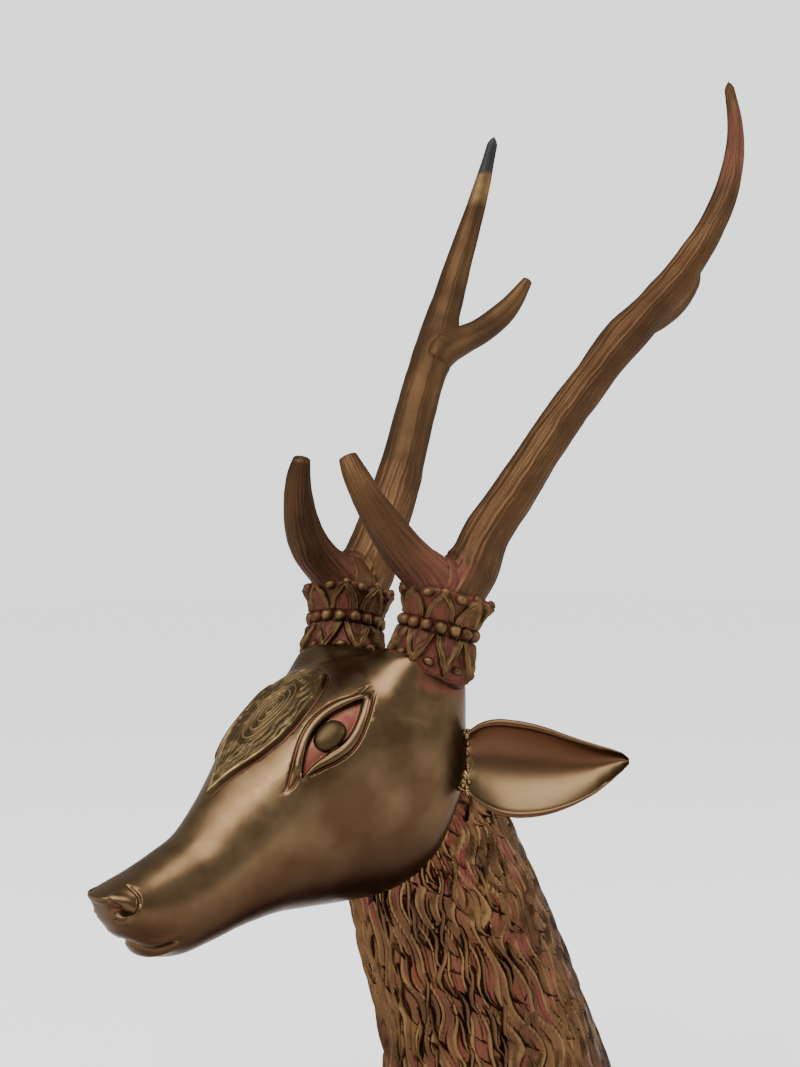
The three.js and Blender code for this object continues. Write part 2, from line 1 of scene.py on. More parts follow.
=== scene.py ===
"""Dresses the bronze bust of an antlered deer.

The shapes are worked out in millimetres round the crown point, midway between the two antler
collars, with +Z up, the deer facing -Y and its left side at +X. They are put into the frame's
metres only when a finished piece is made.
"""

from __future__ import annotations

import logging
import math
from dataclasses import dataclass, field
from enum import Enum
from typing import Callable, Sequence

import bpy
import numpy as np
from mathutils import Matrix, Vector

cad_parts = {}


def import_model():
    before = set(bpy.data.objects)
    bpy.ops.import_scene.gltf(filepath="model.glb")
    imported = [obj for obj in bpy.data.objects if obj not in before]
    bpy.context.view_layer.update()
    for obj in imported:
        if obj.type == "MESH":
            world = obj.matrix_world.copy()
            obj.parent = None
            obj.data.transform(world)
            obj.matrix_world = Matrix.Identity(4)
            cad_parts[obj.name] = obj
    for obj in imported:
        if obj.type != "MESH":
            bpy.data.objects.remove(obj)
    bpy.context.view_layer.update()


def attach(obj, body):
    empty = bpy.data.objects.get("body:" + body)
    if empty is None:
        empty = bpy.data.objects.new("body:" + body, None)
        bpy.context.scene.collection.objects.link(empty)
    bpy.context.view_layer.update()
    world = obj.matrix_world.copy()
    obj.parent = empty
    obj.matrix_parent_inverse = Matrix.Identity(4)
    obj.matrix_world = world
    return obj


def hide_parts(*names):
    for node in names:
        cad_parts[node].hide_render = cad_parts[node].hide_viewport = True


log = logging.getLogger("deer bust")

Array = np.ndarray
Socket = bpy.types.NodeSocket
Colour = tuple[float, float, float]
Triple = tuple[float, float, float]
Surface = Callable[[Array, Array], tuple[Array, ...]]

MM = 0.001
CROWN_HEIGHT = 372.0
CROWN_FORWARD = 95.0
CROWN = np.array([0.0, -CROWN_FORWARD, CROWN_HEIGHT])
# Level direction to the deer's back left, which is to the right in the photograph.
BACK_LEFT = (0.669, 0.743)
SEED = 20
CAST_CREASE_DEG = 85.0
HORN_CREASE_DEG = 100.0
EAR_CREASE_DEG = 60.0


def smoothstep(low: float, high: float, value: Array) -> Array:
    """Rises smoothly from 0 at low to 1 at high.

    Args:
        low: value where the rise starts.
        high: value where it ends; below low turns it round.
        value: where to read it.

    Returns:
        The share, from 0 to 1.
    """
    share = np.clip((value - low) / (high - low), 0.0, 1.0)
    return share * share * (3.0 - 2.0 * share)


def ridge(distance: Array, half_width: float) -> Array:
    """Height of a round-topped ridge: 1 on its line and 0 beyond its half width."""
    share = np.clip(np.abs(distance) / half_width, 0.0, 1.0)
    return (1.0 - share * share) ** 2


def through(values: Sequence[float], share: Array) -> Array:
    """Reads a smooth curve through values at evenly spaced stations.

    Args:
        values: the value at each station.
        share: place along the curve, 0 at the first station and 1 at the last.

    Returns:
        The curve's value at each place.
    """
    table = np.asarray(values, float)
    last = len(table) - 1
    place = np.clip(share, 0.0, 1.0) * last
    i = np.minimum(np.floor(place).astype(int), last - 1)
    f = place - i
    b = table[i]
    c = table[i + 1]
    a = np.where(i > 0, table[np.maximum(i - 1, 0)], 2 * b - c)
    d = np.where(i + 2 <= last, table[np.minimum(i + 2, last)], 2 * c - b)
    return b + 0.5 * f * (c - a + f * (2 * a - 5 * b + 4 * c - d + f * (3 * (b - c) + d - a)))


def smooth_table(table: Sequence[tuple[float, float]], count: int = 240) -> tuple[Array, Array]:
    """Rounds a table of places and values, so that a carved edge has no corners.

    Args:
        table: pairs of place and value in rising order.
        count: how many samples to make.

    Returns:
        Evenly spaced places and their smoothed values.
    """
    places = np.array([row[0] for row in table])
    values = np.array([row[1] for row in table])
    along = np.linspace(places[0], places[-1], count)
    straight = np.interp(along, places, values)
    reach = max(3, count // 34)
    kernel = np.hanning(2 * reach + 1)
    kernel /= kernel.sum()
    before = 2 * straight[0] - straight[reach:0:-1]
    after = 2 * straight[-1] - straight[-2 : -reach - 2 : -1]
    padded = np.concatenate([before, straight, after])
    return along, np.convolve(padded, kernel, mode="valid")


def line_distance(across: Array, up: Array, line: Sequence[tuple[float, float]]) -> Array:
    """Distance from places on a flat view to a smooth line drawn through points.

    Args:
        across: the places' first coordinate.
        up: the places' second coordinate.
        line: the points that the line passes through.

    Returns:
        One distance a place.
    """
    along = np.linspace(0.0, 1.0, 8 * len(line))
    drawn = np.stack([through([point[k] for point in line], along) for k in range(2)], 1)
    best = np.full(len(across), 1e9)
    for start, end in zip(drawn[:-1], drawn[1:]):
        step = end - start
        share = ((across - start[0]) * step[0] + (up - start[1]) * step[1]) / max(step @ step, 1e-9)
        share = np.clip(share, 0.0, 1.0)
        away = np.hypot(across - start[0] - share * step[0], up - start[1] - share * step[1])
        best = np.minimum(best, away)
    return best


def value_noise(points: Array, size: float, seed: int) -> Array:
    """Smooth random values between -1 and 1 in space.

    Args:
        points: places, one row each, of any number of coordinates up to three.
        size: distance between unrelated values.
        seed: which noise.

    Returns:
        One value a place.
    """
    rng = np.random.default_rng(seed)
    table = rng.uniform(-1.0, 1.0, (16, 16, 16))
    padded = np.zeros((len(points), 3))
    padded[:, : points.shape[1]] = points / size
    cell = np.floor(padded).astype(int)
    f = padded - cell
    f = f * f * (3.0 - 2.0 * f)
    total = np.zeros(len(points))
    for corner in range(8):
        step = np.array([corner & 1, (corner >> 1) & 1, (corner >> 2) & 1])
        at = (cell + step) % 16
        weight = np.prod(np.where(step, f, 1.0 - f), axis=1)
        total += weight * table[at[:, 0], at[:, 1], at[:, 2]]
    return total


def add_layer(mesh: bpy.types.Mesh, label: str, values: Array) -> None:
    """Puts one number a point on a mesh, under a label that a finish can read."""
    layer = mesh.attributes.new(label, "FLOAT", "POINT")
    layer.data.foreach_set("value", values.astype(np.float32))


@dataclass
class Shell:
    """A surface in millimetres from the crown point, with what its finish needs to know.

    Attributes:
        points: one row a point.
        faces: three corners a row, facing out.
        hollow: 0 on open skin and 1 deep in carving, where red undercoat is left.
        worn: 1 on ridges that hands have rubbed bright.
        cold_tone_and_painted_reflection: 1 where the finish takes its cold colour: on the leaf and the
            eyeball, at the back of the neck and on the right antler's tip; on an ear it is a painted
            reflection of the sky, strongest on the lower half of the bowl's inside.
    """

    points: Array
    faces: Array
    hollow: Array
    worn: Array
    cold_tone_and_painted_reflection: Array

    @staticmethod
    def plain(points: Array, faces: Array) -> "Shell":
        """A shell with no hollows, wear or zone."""
        blank = np.zeros(len(points))
        return Shell(points, faces, blank, blank.copy(), blank.copy())

    @staticmethod
    def joined(shells: Sequence["Shell"]) -> "Shell":
        """All the shells as one."""
        starts = np.cumsum([0] + [len(shell.points) for shell in shells[:-1]])
        return Shell(
            np.concatenate([shell.points for shell in shells]),
            np.concatenate([shell.faces + start for shell, start in zip(shells, starts)]),
            np.concatenate([shell.hollow for shell in shells]),
            np.concatenate([shell.worn for shell in shells]),
            np.concatenate([shell.cold_tone_and_painted_reflection for shell in shells]),
        )

    def placed(self, matrix: Matrix) -> "Shell":
        """The shell turned and moved by a matrix in millimetres."""
        turn = np.array(matrix.to_3x3())
        points = self.points @ turn.T + np.array(matrix.translation)
        return Shell(points, self.faces, self.hollow, self.worn, self.cold_tone_and_painted_reflection)

    def mirrored(self) -> "Shell":
        """The shell on the other side of the middle plane, still facing out."""
        points = self.points * np.array([-1.0, 1.0, 1.0])
        return Shell(points, self.faces[:, ::-1], self.hollow, self.worn, self.cold_tone_and_painted_reflection)

    def welded(self, distance: float = 0.002) -> "Shell":
        """The shell with points that coincide made one, and empty faces dropped.

        Args:
            distance: how close counts as coinciding.

        Returns:
            The closed-up shell.
        """
        keys = np.round(self.points / distance).astype(np.int64)
        _, first, place = np.unique(keys, axis=0, return_index=True, return_inverse=True)
        faces = place.reshape(-1)[self.faces]
        whole = (faces[:, 0] != faces[:, 1]) & (faces[:, 1] != faces[:, 2]) & (faces[:, 2] != faces[:, 0])
        return Shell(
            self.points[first], faces[whole], self.hollow[first], self.worn[first], self.cold_tone_and_painted_reflection[first]
        )

    def to_mesh(self, name: str, crease_deg: float) -> bpy.types.Mesh:
        """Makes the mesh in the frame's metres.

        Args:
            name: the mesh's name.
            crease_deg: an edge turned by more than this is shaded sharp.

        Returns:
            The mesh, with the finish's attributes on its points. Its dusk is 1 where the
            surface faces down.
        """
        mesh = bpy.data.meshes.new(name)
        mesh.from_pydata(((self.points + CROWN) * MM).tolist(), [], self.faces.tolist())
        for label, values in (("hollow", self.hollow), ("worn", self.worn), ("cold_tone_and_painted_reflection", self.cold_tone_and_painted_reflection)):
            add_layer(mesh, label, np.clip(values, 0.0, 1.0))
        # Painted shade: the sides that face down are marked here, to be darkened in the finish.
        normals = np.empty(len(mesh.vertices) * 3)
        mesh.vertices.foreach_get("normal", normals)
        facing_up = normals[2::3] + 0.12 * value_noise(self.points, 21.0, 31)
        add_layer(mesh, "painted_underside_shade", smoothstep(0.25, -0.75, facing_up))
        mesh.shade_smooth()
        mesh.set_sharp_from_angle(angle=math.radians(crease_deg))
        mesh.update()
        return mesh


def even_grid(rows: int, columns: int) -> tuple[Array, Array, Array]:
    """An even grid of triangles over two shares.

    Args:
        rows: steps along the first share.
        columns: steps along the second share.

    Returns:
        Each point's first share and second share, and the faces, three corners a row.
    """
    u = np.repeat(np.linspace(0.0, 1.0, rows + 1), columns + 1)
    v = np.tile(np.linspace(0.0, 1.0, columns + 1), rows + 1)
    i, j = np.meshgrid(np.arange(rows), np.arange(columns), indexing="ij")
    a = (i * (columns + 1) + j).ravel()
    b, c, d = a + 1, a + columns + 2, a + columns + 1
    return u, v, np.concatenate([np.stack([a, b, c], 1), np.stack([a, c, d], 1)])


def grid_shell(surface: Surface, rows: int, columns: int, closed: bool) -> Shell:
    """A shell over an even grid of a surface.

    Args:
        surface: gives points, hollow, worn and zone at each pair of shares.
        rows: steps along the first share.
        columns: steps along the second share.
        closed: whether the second share runs all the way round.

    Returns:
        The shell, open at the two ends.
    """
    u, v, faces = even_grid(rows, columns)
    points, hollow, worn, cold_tone_and_painted_reflection = surface(u, v)
    shell = Shell(points, faces, hollow, worn, cold_tone_and_painted_reflection)
    return shell.welded() if closed else shell


def refined_shell(
    surface: Surface,
    rows: int,
    columns: int,
    tolerance: float,
    shortest: float,
    passes: int,
    fine: float,
    margin: float,
) -> Shell:
    """A shell whose faces are split only where the surface has detail.

    Args:
        surface: gives points, hollow, worn and zone at each pair of shares.
        rows: steps of the first grid along the first share.
        columns: steps of the first grid along the second share.
        tolerance: how far an edge's middle may lie off the surface.
        shortest: an edge shorter than this is left alone.
        passes: how many times to split.
        fine: an edge in a zone that is longer than this is split too.
        margin: an edge with a marked end that is longer than this is split too.

    Returns:
        The shell, with its seams not yet welded.
    """
    u, v, faces = even_grid(rows, columns)
    places = np.stack([u, v], 1)
    for _ in range(passes):
        points, hollow, worn, cold_tone_and_painted_reflection = surface(places[:, 0], places[:, 1])
        marked = np.maximum(np.maximum(hollow, worn), cold_tone_and_painted_reflection) > 0.03
        edges = np.sort(faces[:, [[0, 1], [1, 2], [2, 0]]].reshape(-1, 2), axis=1)
        edges, which = np.unique(edges, axis=0, return_inverse=True)
        which = which.reshape(-1, 3)
        start, end = edges[:, 0], edges[:, 1]
        length = np.linalg.norm(points[start] - points[end], axis=1)
        worst = np.zeros(len(edges))
        for share in (0.27, 0.5, 0.73):
            between = places[start] * (1 - share) + places[end] * share
            chord = points[start] * (1 - share) + points[end] * share
            true = surface(between[:, 0], between[:, 1])[0]
            worst = np.maximum(worst, np.linalg.norm(true - chord, axis=1))
        in_zone = (cold_tone_and_painted_reflection[start] > 0.5) & (cold_tone_and_painted_reflection[end] > 0.5)
        split = ((worst > tolerance) & (length > shortest)) | (in_zone & (length > fine))
        split |= (marked[start] | marked[end]) & (length > margin)
        if not split.any():
            break
        middle = np.full(len(edges), -1)
        middle[split] = len(places) + np.arange(split.sum())
        places = np.concatenate([places, (places[start[split]] + places[end[split]]) / 2])
        faces = split_faces(faces, middle[which])
    points, hollow, worn, cold_tone_and_painted_reflection = surface(places[:, 0], places[:, 1])
    return Shell(points, faces, hollow, worn, cold_tone_and_painted_reflection)


def split_faces(faces: Array, middles: Array) -> Array:
    """Splits triangles at the middles of some of their edges.

    Args:
        faces: three corners a row.
        middles: for each face, the point in the middle of each edge, or -1.

    Returns:
        The new faces, facing as the old ones did.
    """
    count = (middles >= 0).sum(1)
    kept = [faces[count == 0]]
    for wanted in (1, 2, 3):
        for turn in range(3):
            rolled = np.roll(middles, -turn, axis=1)
            if wanted == 1:
                mine = (count == 1) & (rolled[:, 0] >= 0)
            elif wanted == 2:
                mine = (count == 2) & (rolled[:, 0] < 0)
            else:
                mine = (count == 3) & (turn == 0)
            p, q, r = np.roll(faces, -turn, axis=1)[mine].T
            m, n, o = rolled[mine].T
            if wanted == 1:
                made = [(p, m, r), (m, q, r)]
            elif wanted == 2:
                made = [(n, r, o), (p, q, n), (p, n, o)]
            else:
                made = [(p, m, o), (m, q, n), (o, n, r), (m, n, o)]
            kept.extend(np.stack(corners, 1) for corners in made)
    return np.concatenate(kept)


@dataclass(frozen=True)
class Rib:
    """One rib of the head, from a point on the top line to one on the under line.

    Attributes:
        top: back and up of its top point.
        under: back and up of its under point.
        wide: half its width.
        top_full: how boxy its upper half is; 2 is an oval.
        under_full: how boxy its lower half is.
        lift: how far up its widest place lies.
    """

    top: tuple[float, float]
    under: tuple[float, float]
    wide: float
    top_full: float
    under_full: float
    lift: float


RIBS = (
    Rib((-216.7, -140.1), (-215.4, -145.6), 9, 2.2, 2.2, 0.25),
    Rib((-212.3, -138.2), (-208.9, -158.7), 15.5, 2.3, 2.1, 0.2),
    Rib((-204.4, -135.1), (-197.8, -169), 21, 2.3, 2.1, 0.12),
    Rib((-190.6, -129.6), (-183.6, -179), 24, 2.2, 2.1, 0.08),
    Rib((-174.7, -122.4), (-165.4, -181.2), 26, 2.1, 2.1, 0.08),
    Rib((-157.4, -112.6), (-145.1, -176.9), 28.5, 1.9, 2.1, 0.1),
    Rib((-143, -97), (-122.9, -171), 33, 1.75, 2.1, 0.1),
    Rib((-124, -75.5), (-98.3, -166.9), 42, 1.8, 2.1, 0.14),
    Rib((-100, -54), (-72.2, -166.7), 51, 2.5, 2.1, 0.16),
    Rib((-74, -34.5), (-46.1, -166.9), 57, 2.8, 2.1, 0.14),
    Rib((-46, -23), (-20.7, -165.3), 61, 3, 2.2, 0.1),
    Rib((-16, -18.5), (1, -156.6), 61, 3, 2.2, 0.08),
    Rib((8, -22), (14, -136), 55, 2.6, 2.2, 0.06),
    Rib((26, -36), (24, -112), 42, 2.2, 2.2, 0),
    Rib((36, -56), (35, -84), 20, 2, 2, 0),
)


@dataclass
class Head:
    """The smooth head with its carved leaf, eyes, nostrils and mouth.

    Attributes:
        cap: share of the first station given to rounding off the nose.
        nose_bulge: how far the nose's front stands ahead of its first rib.
        leaf_rise: height of the forehead leaf.
        lid_rise: height of the lid bands.
        eye_sink: depth of the eye opening round the ball.
        groove_depth: depth of the grooves round the eye and nostril.
        nostril_depth: depth of the nostril.
        mouth_depth: depth of the mouth slit.
        seat_sunk: how far the crown reaches up into the collar that stands on it.
        leaf_length: length of the forehead leaf, from the tip that points to the nose.
        leaf_eye: how far up the leaf its innermost loop lies.
        leaf_relief: height of the loops and strokes on the leaf.
        loop_pitch: distance from one loop to the next.
        loops_end: how far from the innermost loop the loops give way to strokes, from where
            only strokes are left to where they start.
        strokes_across: strokes on each half of the leaf.
        channels: the ribs' measures, one list each, filled in from RIBS.
    """

    cap: float = 0.035
    nose_bulge: float = 2.2
    leaf_rise: float = 3.0
    lid_rise: float = 1.7
    eye_sink: float = 3.4
    groove_depth: float = 1.4
    nostril_depth: float = 5.5
    mouth_depth: float = 2.2
    seat_sunk: float = 3.0
    leaf_length: float = 107.0
    leaf_eye: float = 68.0
    leaf_relief: float = 0.65
    loop_pitch: float = 3.5
    loops_end: tuple[float, float] = (17.2, 16.0)
    strokes_across: float = 5.2
    channels: dict = field(default_factory=dict)

    def __post_init__(self) -> None:
        """Lists the ribs' measures, and sets out the leaf and the eye."""
        self.channels = {
            "top_y": [rib.top[0] for rib in RIBS],
            "top_z": [rib.top[1] for rib in RIBS],
            "under_y": [rib.under[0] for rib in RIBS],
            "under_z": [rib.under[1] for rib in RIBS],
        }
        for measure in ("wide", "top_full", "under_full", "lift"):
            self.channels[measure] = [getattr(rib, measure) for rib in RIBS]
        self.leaf_edge = smooth_table(
            [(0, 0), (9, 3.5), (17, 7.5), (33, 17), (48, 23.5), (60, 25), (72, 24.5), (82, 23.2),
             (92, 19.6), (99, 15), (103.5, 10.5), (106.3, 5.5), (self.leaf_length, 0)]
        )
        self.leaf_start = np.array([0.0, -141.0, -94.4])
        self.leaf_along = np.array([0.0, 0.753, 0.658])
        self.eye_middle = np.array([45.1, -87.8, -57.9])
        self.eye_along = np.array([0.091, 0.688, 0.720])
        self.eye_along /= np.linalg.norm(self.eye_along)
        up = np.array([-0.732, -0.444, 0.517])
        up -= up @ self.eye_along * self.eye_along
        self.eye_up = up / np.linalg.norm(up)
        self.eye_out = np.cross(self.eye_along, self.eye_up)

    def bare(self, share: Array, turn: Array) -> Array:
        """Points of the head before it is carved.

        Args:
            share: 0 at the tip of the nose and 1 at the back of the skull.
            turn: 0 on the top line, a quarter turn on the left side, half a turn below.

        Returns:
            One point a row.
        """
        ribbed = np.clip((share - self.cap) / (1.0 - self.cap), 0.0, 1.0)
        at = {name: through(values, ribbed) for name, values in self.channels.items()}
        cosine, sine = np.cos(turn), np.sin(turn)
        full = np.where(cosine >= 0, at["top_full"], at["under_full"])
        up = np.sign(cosine) * np.abs(cosine) ** (2.0 / full)
        out = np.sign(sine) * np.abs(sine) ** (2.0 / full)
        height = up + at["lift"] * (1.0 - up * up)
        middle_y = (at["top_y"] + at["under_y"]) / 2
        middle_z = (at["top_z"] + at["under_z"]) / 2
        half_y = (at["top_y"] - at["under_y"]) / 2
        half_z = (at["top_z"] - at["under_z"]) / 2
        into_cap = np.clip(share / self.cap, 0.0, 1.0)
        open_wide = np.sqrt(np.clip(1.0 - (1.0 - into_cap) ** 2, 0.0, 1.0))
        forward = self.nose_bulge * (1.0 - into_cap)
        return np.stack(
            [
                at["wide"] * out * open_wide,
                middle_y + half_y * height * open_wide - forward,
                middle_z + half_z * height * open_wide,
            ],
            1,
        )

    def normal(self, share: Array, turn: Array) -> Array:
        """Outward directions of the bare head.

        Args:
            share: 0 at the tip of the nose and 1 at the back of the skull.
            turn: 0 on the top line and half a turn below.

        Returns:
            One direction of length 1 a row.
        """
        step = 0.003
        low, high = np.clip(share - step, 0.002, 1), np.clip(share + step, 0.002, 1)
        along = self.bare(high, turn) - self.bare(low, turn)
        across = self.bare(share, turn + step) - self.bare(share, turn - step)
        out = np.cross(across, along)
        return out / np.maximum(np.linalg.norm(out, axis=1, keepdims=True), 1e-9)

    def leaf(self, point: Array, upper: Array) -> tuple[Array, ...]:
        """Relief of the forehead leaf: nested drops, and strokes that run down to its tip.

        Args:
            point: points of the bare head.
            upper: how far each is on the upper side, 0 to 1.

        Returns:
            Height, hollow, worn and zone.
        """
        along = (point - self.leaf_start) @ self.leaf_along
        side = np.abs(point[:, 0])
        half = np.interp(along, *self.leaf_edge, left=-9.0, right=-9.0)
        edge = (half - side) * upper - 9.0 * (1.0 - upper)
        body = smoothstep(-0.5, 0.7, edge)
        beyond = along - self.leaf_eye
        drop = np.hypot(beyond / np.where(beyond > 0, 1.35, 1.9), side / 0.78)
        drop += 0.3 * value_noise(point, 7.0, 5)
        loops = np.cos(2 * np.pi * drop / self.loop_pitch)
        inner = smoothstep(*self.loops_end, drop)
        spread = side / np.maximum(half, 3.0)
        sway = 0.05 * np.sin(along * 0.31 + 5 * spread) + 0.05 * value_noise(point, 4.0, 8)
        strokes = np.cos((spread + sway) * 2 * np.pi * self.strokes_across)
        broken = (0.6 + 0.4 * value_noise(point, 3.4, 9)) * smoothstep(3.0, 9.0, half)
        carving = inner * loops + (1 - inner) * strokes * broken
        carving *= smoothstep(0.6, 2.4, edge)
        rim = ridge(edge - 1.4, 1.6)
        moat = ridge(edge + 1.0, 1.1)
        height = body * (self.leaf_rise + self.leaf_relief * carving + 0.5 * rim) - 0.8 * moat
        hollow = np.clip(moat * 0.7 + body * 0.34 * np.clip(-carving - 0.2, 0, 1), 0, 1)
        low_edge = smoothstep(60.0, 35.0, along)
        flecks = 0.35 * smoothstep(0.3, 0.7, value_noise(point, 2.4, 33))
        lines = 0.7 * np.clip(2 * carving - 1, 0, 1)
        worn = body * np.clip(rim * (0.2 + 0.8 * low_edge) + lines + flecks, 0, 1)
        return height, hollow, worn, body

    def eye(self, point: Array) -> tuple[Array, ...]:
        """Relief of the left eye: ball, lids, and the grooves that run out to the tear line.

        Args:
            point: points of the bare head.

        Returns:
            Height, hollow, worn and how much of the point is eyeball.
        """
        away = point - self.eye_middle
        p, q = away @ self.eye_along, away @ self.eye_up
        in_front = smoothstep(-30, -20, away @ self.eye_out)
        near = in_front * smoothstep(46, 42, np.abs(p)) * (np.abs(q) < 30)
        station = (p + 40.0) / 80.0
        upper_lid = through([-12, -2.6, 3.4, 7.6, 9.0, 7.8, 3.8, -1.6, -10], station)
        lower_lid = through([-1, -2.4, -3.2, -6.0, -9.2, -9.2, -6.6, -2.4, 3], station)
        upper_line = through([1.2, 5.5, 9.8, 13.2, 14.8, 13.8, 10.3, 3.8, 1.6], station)
        lower_line = through([-1.6, -4.2, -8.2, -13.2, -15.8, -15.4, -12.8, -9, -4.4], station)
        inside = np.minimum(upper_lid - q, q - lower_lid)
        opening = smoothstep(-0.7, 0.6, inside)
        ball = 1.0 - np.abs((p - 0.5) / 11.0) ** 2.3 - np.abs((q + 0.1) / 8.6) ** 2.3
        dome = 4.4 * np.clip(ball, 0, 1) ** 0.6
        ends = smoothstep(44, 36, np.abs(p + 1.0))
        lids = np.maximum(
            ridge(q - (upper_lid + upper_line) / 2, 3.6), ridge(q - (lower_lid + lower_line) / 2, 3.4)
        )
        lids *= smoothstep(-33, -26, p) * smoothstep(38, 31, p)
        lip = ridge(inside + 1.1, 1.5)
        low_part = smoothstep(-31, -25, p)
        tear = smoothstep(-24, -32, p) * ridge(q - through([1.0, -1.0, 0.5, 2, 2], (p + 44) / 30), 1.6)
        lines = np.maximum(ridge(q - upper_line, 1.45), ridge(q - lower_line, 1.4) * low_part)
        lines = np.maximum(lines, tear)
        shut = 1.0 - opening
        height = shut * (ends * (self.lid_rise * lids - self.groove_depth * lines) + 0.25 * lip)
        height = (height + opening * (dome - self.eye_sink)) * near
        socket = opening * smoothstep(0.28, -0.05, ball)
        patchy = np.clip(0.6 + 0.9 * value_noise(point, 4.5, 17), 0.1, 1)
        corner = 0.55 + 0.45 * smoothstep(7.0, 14.0, np.abs(p))
        red_lines = 0.9 * patchy * lines * ends * shut
        red_socket = (0.5 + 0.5 * patchy) * corner * socket
        hollow = near * np.clip(red_lines + red_socket, 0, 1)
        worn = near * 0.12 * (lip + lids) * ends * shut
        return height, hollow, worn, near * opening * smoothstep(0.0, 0.2, ball)

    def nostril(self, point: Array) -> tuple[Array, ...]:
        """Relief of the left nostril: a pocket beside a rounded wing, and a curl behind it.

        Args:
            point: points of the bare head.

        Returns:
            Height, hollow and worn.
        """
        y, z = point[:, 1], point[:, 2]
        side = smoothstep(7.5, 10.0, np.abs(point[:, 0])) * smoothstep(-216.0, -213.6, y)
        hole = ((-215.0, -144.6), (-212.6, -146.8), (-210.2, -149.2), (-207.8, -150.2))
        roll = ((-214.0, -140.6), (-211.0, -142.0), (-207.0, -143.8), (-204.4, -147.2))
        curve = ((-202.6, -136.5), (-201.3, -142), (-203.6, -148.9), (-206.8, -153.2), (-210, -154.0))
        pocket = smoothstep(2.9, 1.0, line_distance(y, z, hole)) * side
        wing = ridge(line_distance(y, z, roll), 4.6) * side * (1.0 - pocket)
        curl = ridge(line_distance(y, z, curve), 1.5) * side
        sunk = self.nostril_depth * pocket * smoothstep(-215.5, -210.0, y)
        height = 0.9 * wing - sunk - self.groove_depth * curl
        hollow = np.clip(0.6 * pocket + 0.4 * curl, 0, 1)
        return height, hollow, 0.15 * wing

    def mouth(self, point: Array) -> tuple[Array, ...]:
        """Relief of the mouth: a short slit between soft lips.

        Args:
            point: points of the bare head.

        Returns:
            Height and hollow.
        """
        y, z = point[:, 1], point[:, 2]
        drawn = (
            (-208, -166), (-203, -166.8), (-199, -168.4), (-195.7, -170.2),
            (-192, -171.2), (-188, -171.5), (-184, -170.2), (-177, -168.6),
        )
        line = np.interp(y, [place for place, _ in drawn], [up for _, up in drawn])
        fade = smoothstep(-174.5, -181.0, y)
        slit = ridge(z - line, 1.4) * fade
        upper, lower = ridge(z - line - 3.2, 3.2), ridge(z - line + 4.6, 4.6)
        lips = (0.7 * upper + 2.0 * lower) * smoothstep(-170.0, -186.0, y)
        return lips - self.mouth_depth * slit, 0.7 * slit

    def raised_to_seat(self, point: Array) -> Array:
        """Raises the crown to a seat just inside the left collar's lower edge.

        Args:
            point: points of the left half.

        Returns:
            The points, moved up along the collar where they lie under it.
        """
        collar = Collar()
        turn = np.array(collar.place().to_3x3())
        local = (point - np.array(collar.middle)) @ turn
        away = np.hypot(local[:, 0], local[:, 1])
        seat = self.seat_sunk - collar.height / 2 * collar.stretch(local[:, 0], local[:, 1])
        share = smoothstep(2 * collar.radius, 1.1 * collar.radius, away)
        share = share * smoothstep(-56.0, -36.0, local[:, 2])
        local[:, 2] += np.maximum(seat - local[:, 2], 0) * share
        return local @ turn.T + np.array(collar.middle)

    def stained(self, point: Array) -> Array:
        """How much undercoat shows on the crown, round the collar and in front of it.

        Args:
            point: points of the left half.

        Returns:
            One share a row.
        """
        collar = Collar()
        local = (point - np.array(collar.middle)) @ np.array(collar.place().to_3x3())
        away = np.hypot(local[:, 0], local[:, 1]) - collar.radius - 3.0
        high = smoothstep(-44.0, -34.0, local[:, 2])
        front = np.linalg.norm(point - np.array([30.0, -33.0, -27.0]), axis=1)
        uneven = 2.5 * value_noise(point, 7.0, 33)
        by_collar = smoothstep(5.0, 1.0, away + uneven)
        before_it = smoothstep(13.0, 4.0, front + uneven)
        return 0.8 * high * np.maximum(by_collar, before_it)

    def carved(self, share: Array, half_turn: Array) -> tuple[Array, ...]:
        """The finished left half of the head.

        Args:
            share: 0 at the tip of the nose and 1 at the back of the skull.
            half_turn: 0 on the top line and 1 on the under line.

        Returns:
            Points, hollow, worn and zone.
        """
        turn = (half_turn * 0.55 + 0.45 * half_turn**1.6) * np.pi
        share = np.where(share < 1, share**1.12, 1.0)
        point = self.bare(share, turn)
        upper = smoothstep(math.radians(88), math.radians(80), turn)
        leaf, leaf_hollow, leaf_worn, cold_tone_and_painted_reflection = self.leaf(point, upper)
        eye, eye_hollow, eye_worn, ball = self.eye(point)
        nose, nose_hollow, nose_worn = self.nostril(point)
        mouth, mouth_hollow = self.mouth(point)
        hand = 0.28 * value_noise(point, 34.0, 3) + 0.1 * value_noise(point, 12.0, 4)
        rise = leaf + (eye + nose + mouth) * (1.0 - cold_tone_and_painted_reflection) + hand * smoothstep(0.0, 0.05, share)
        made = point + self.normal(share, turn) * rise[:, None]
        made = self.raised_to_seat(made)
        made[:, 0] = np.where(np.sin(turn) < 1e-9, 0.0, np.maximum(made[:, 0], 0.0))
        hollow = leaf_hollow + eye_hollow + nose_hollow + mouth_hollow + self.stained(made)
        hollow = np.clip(hollow, 0, 1)
        worn = np.clip(leaf_worn + eye_worn + nose_worn, 0, 1)
        return made, hollow, worn, np.maximum(cold_tone_and_painted_reflection, ball)

    def build(self) -> Shell:
        """Both halves of the head, joined along the middle plane."""
        left = refined_shell(
            self.carved, rows=84, columns=44, tolerance=0.07, shortest=0.6, passes=5, fine=0.8, margin=1.35
        )
        back_of_skull = (0, 40, -70)
        return capped(Shell.joined([left, left.mirrored()]).welded(), back_of_skull, reach=40)


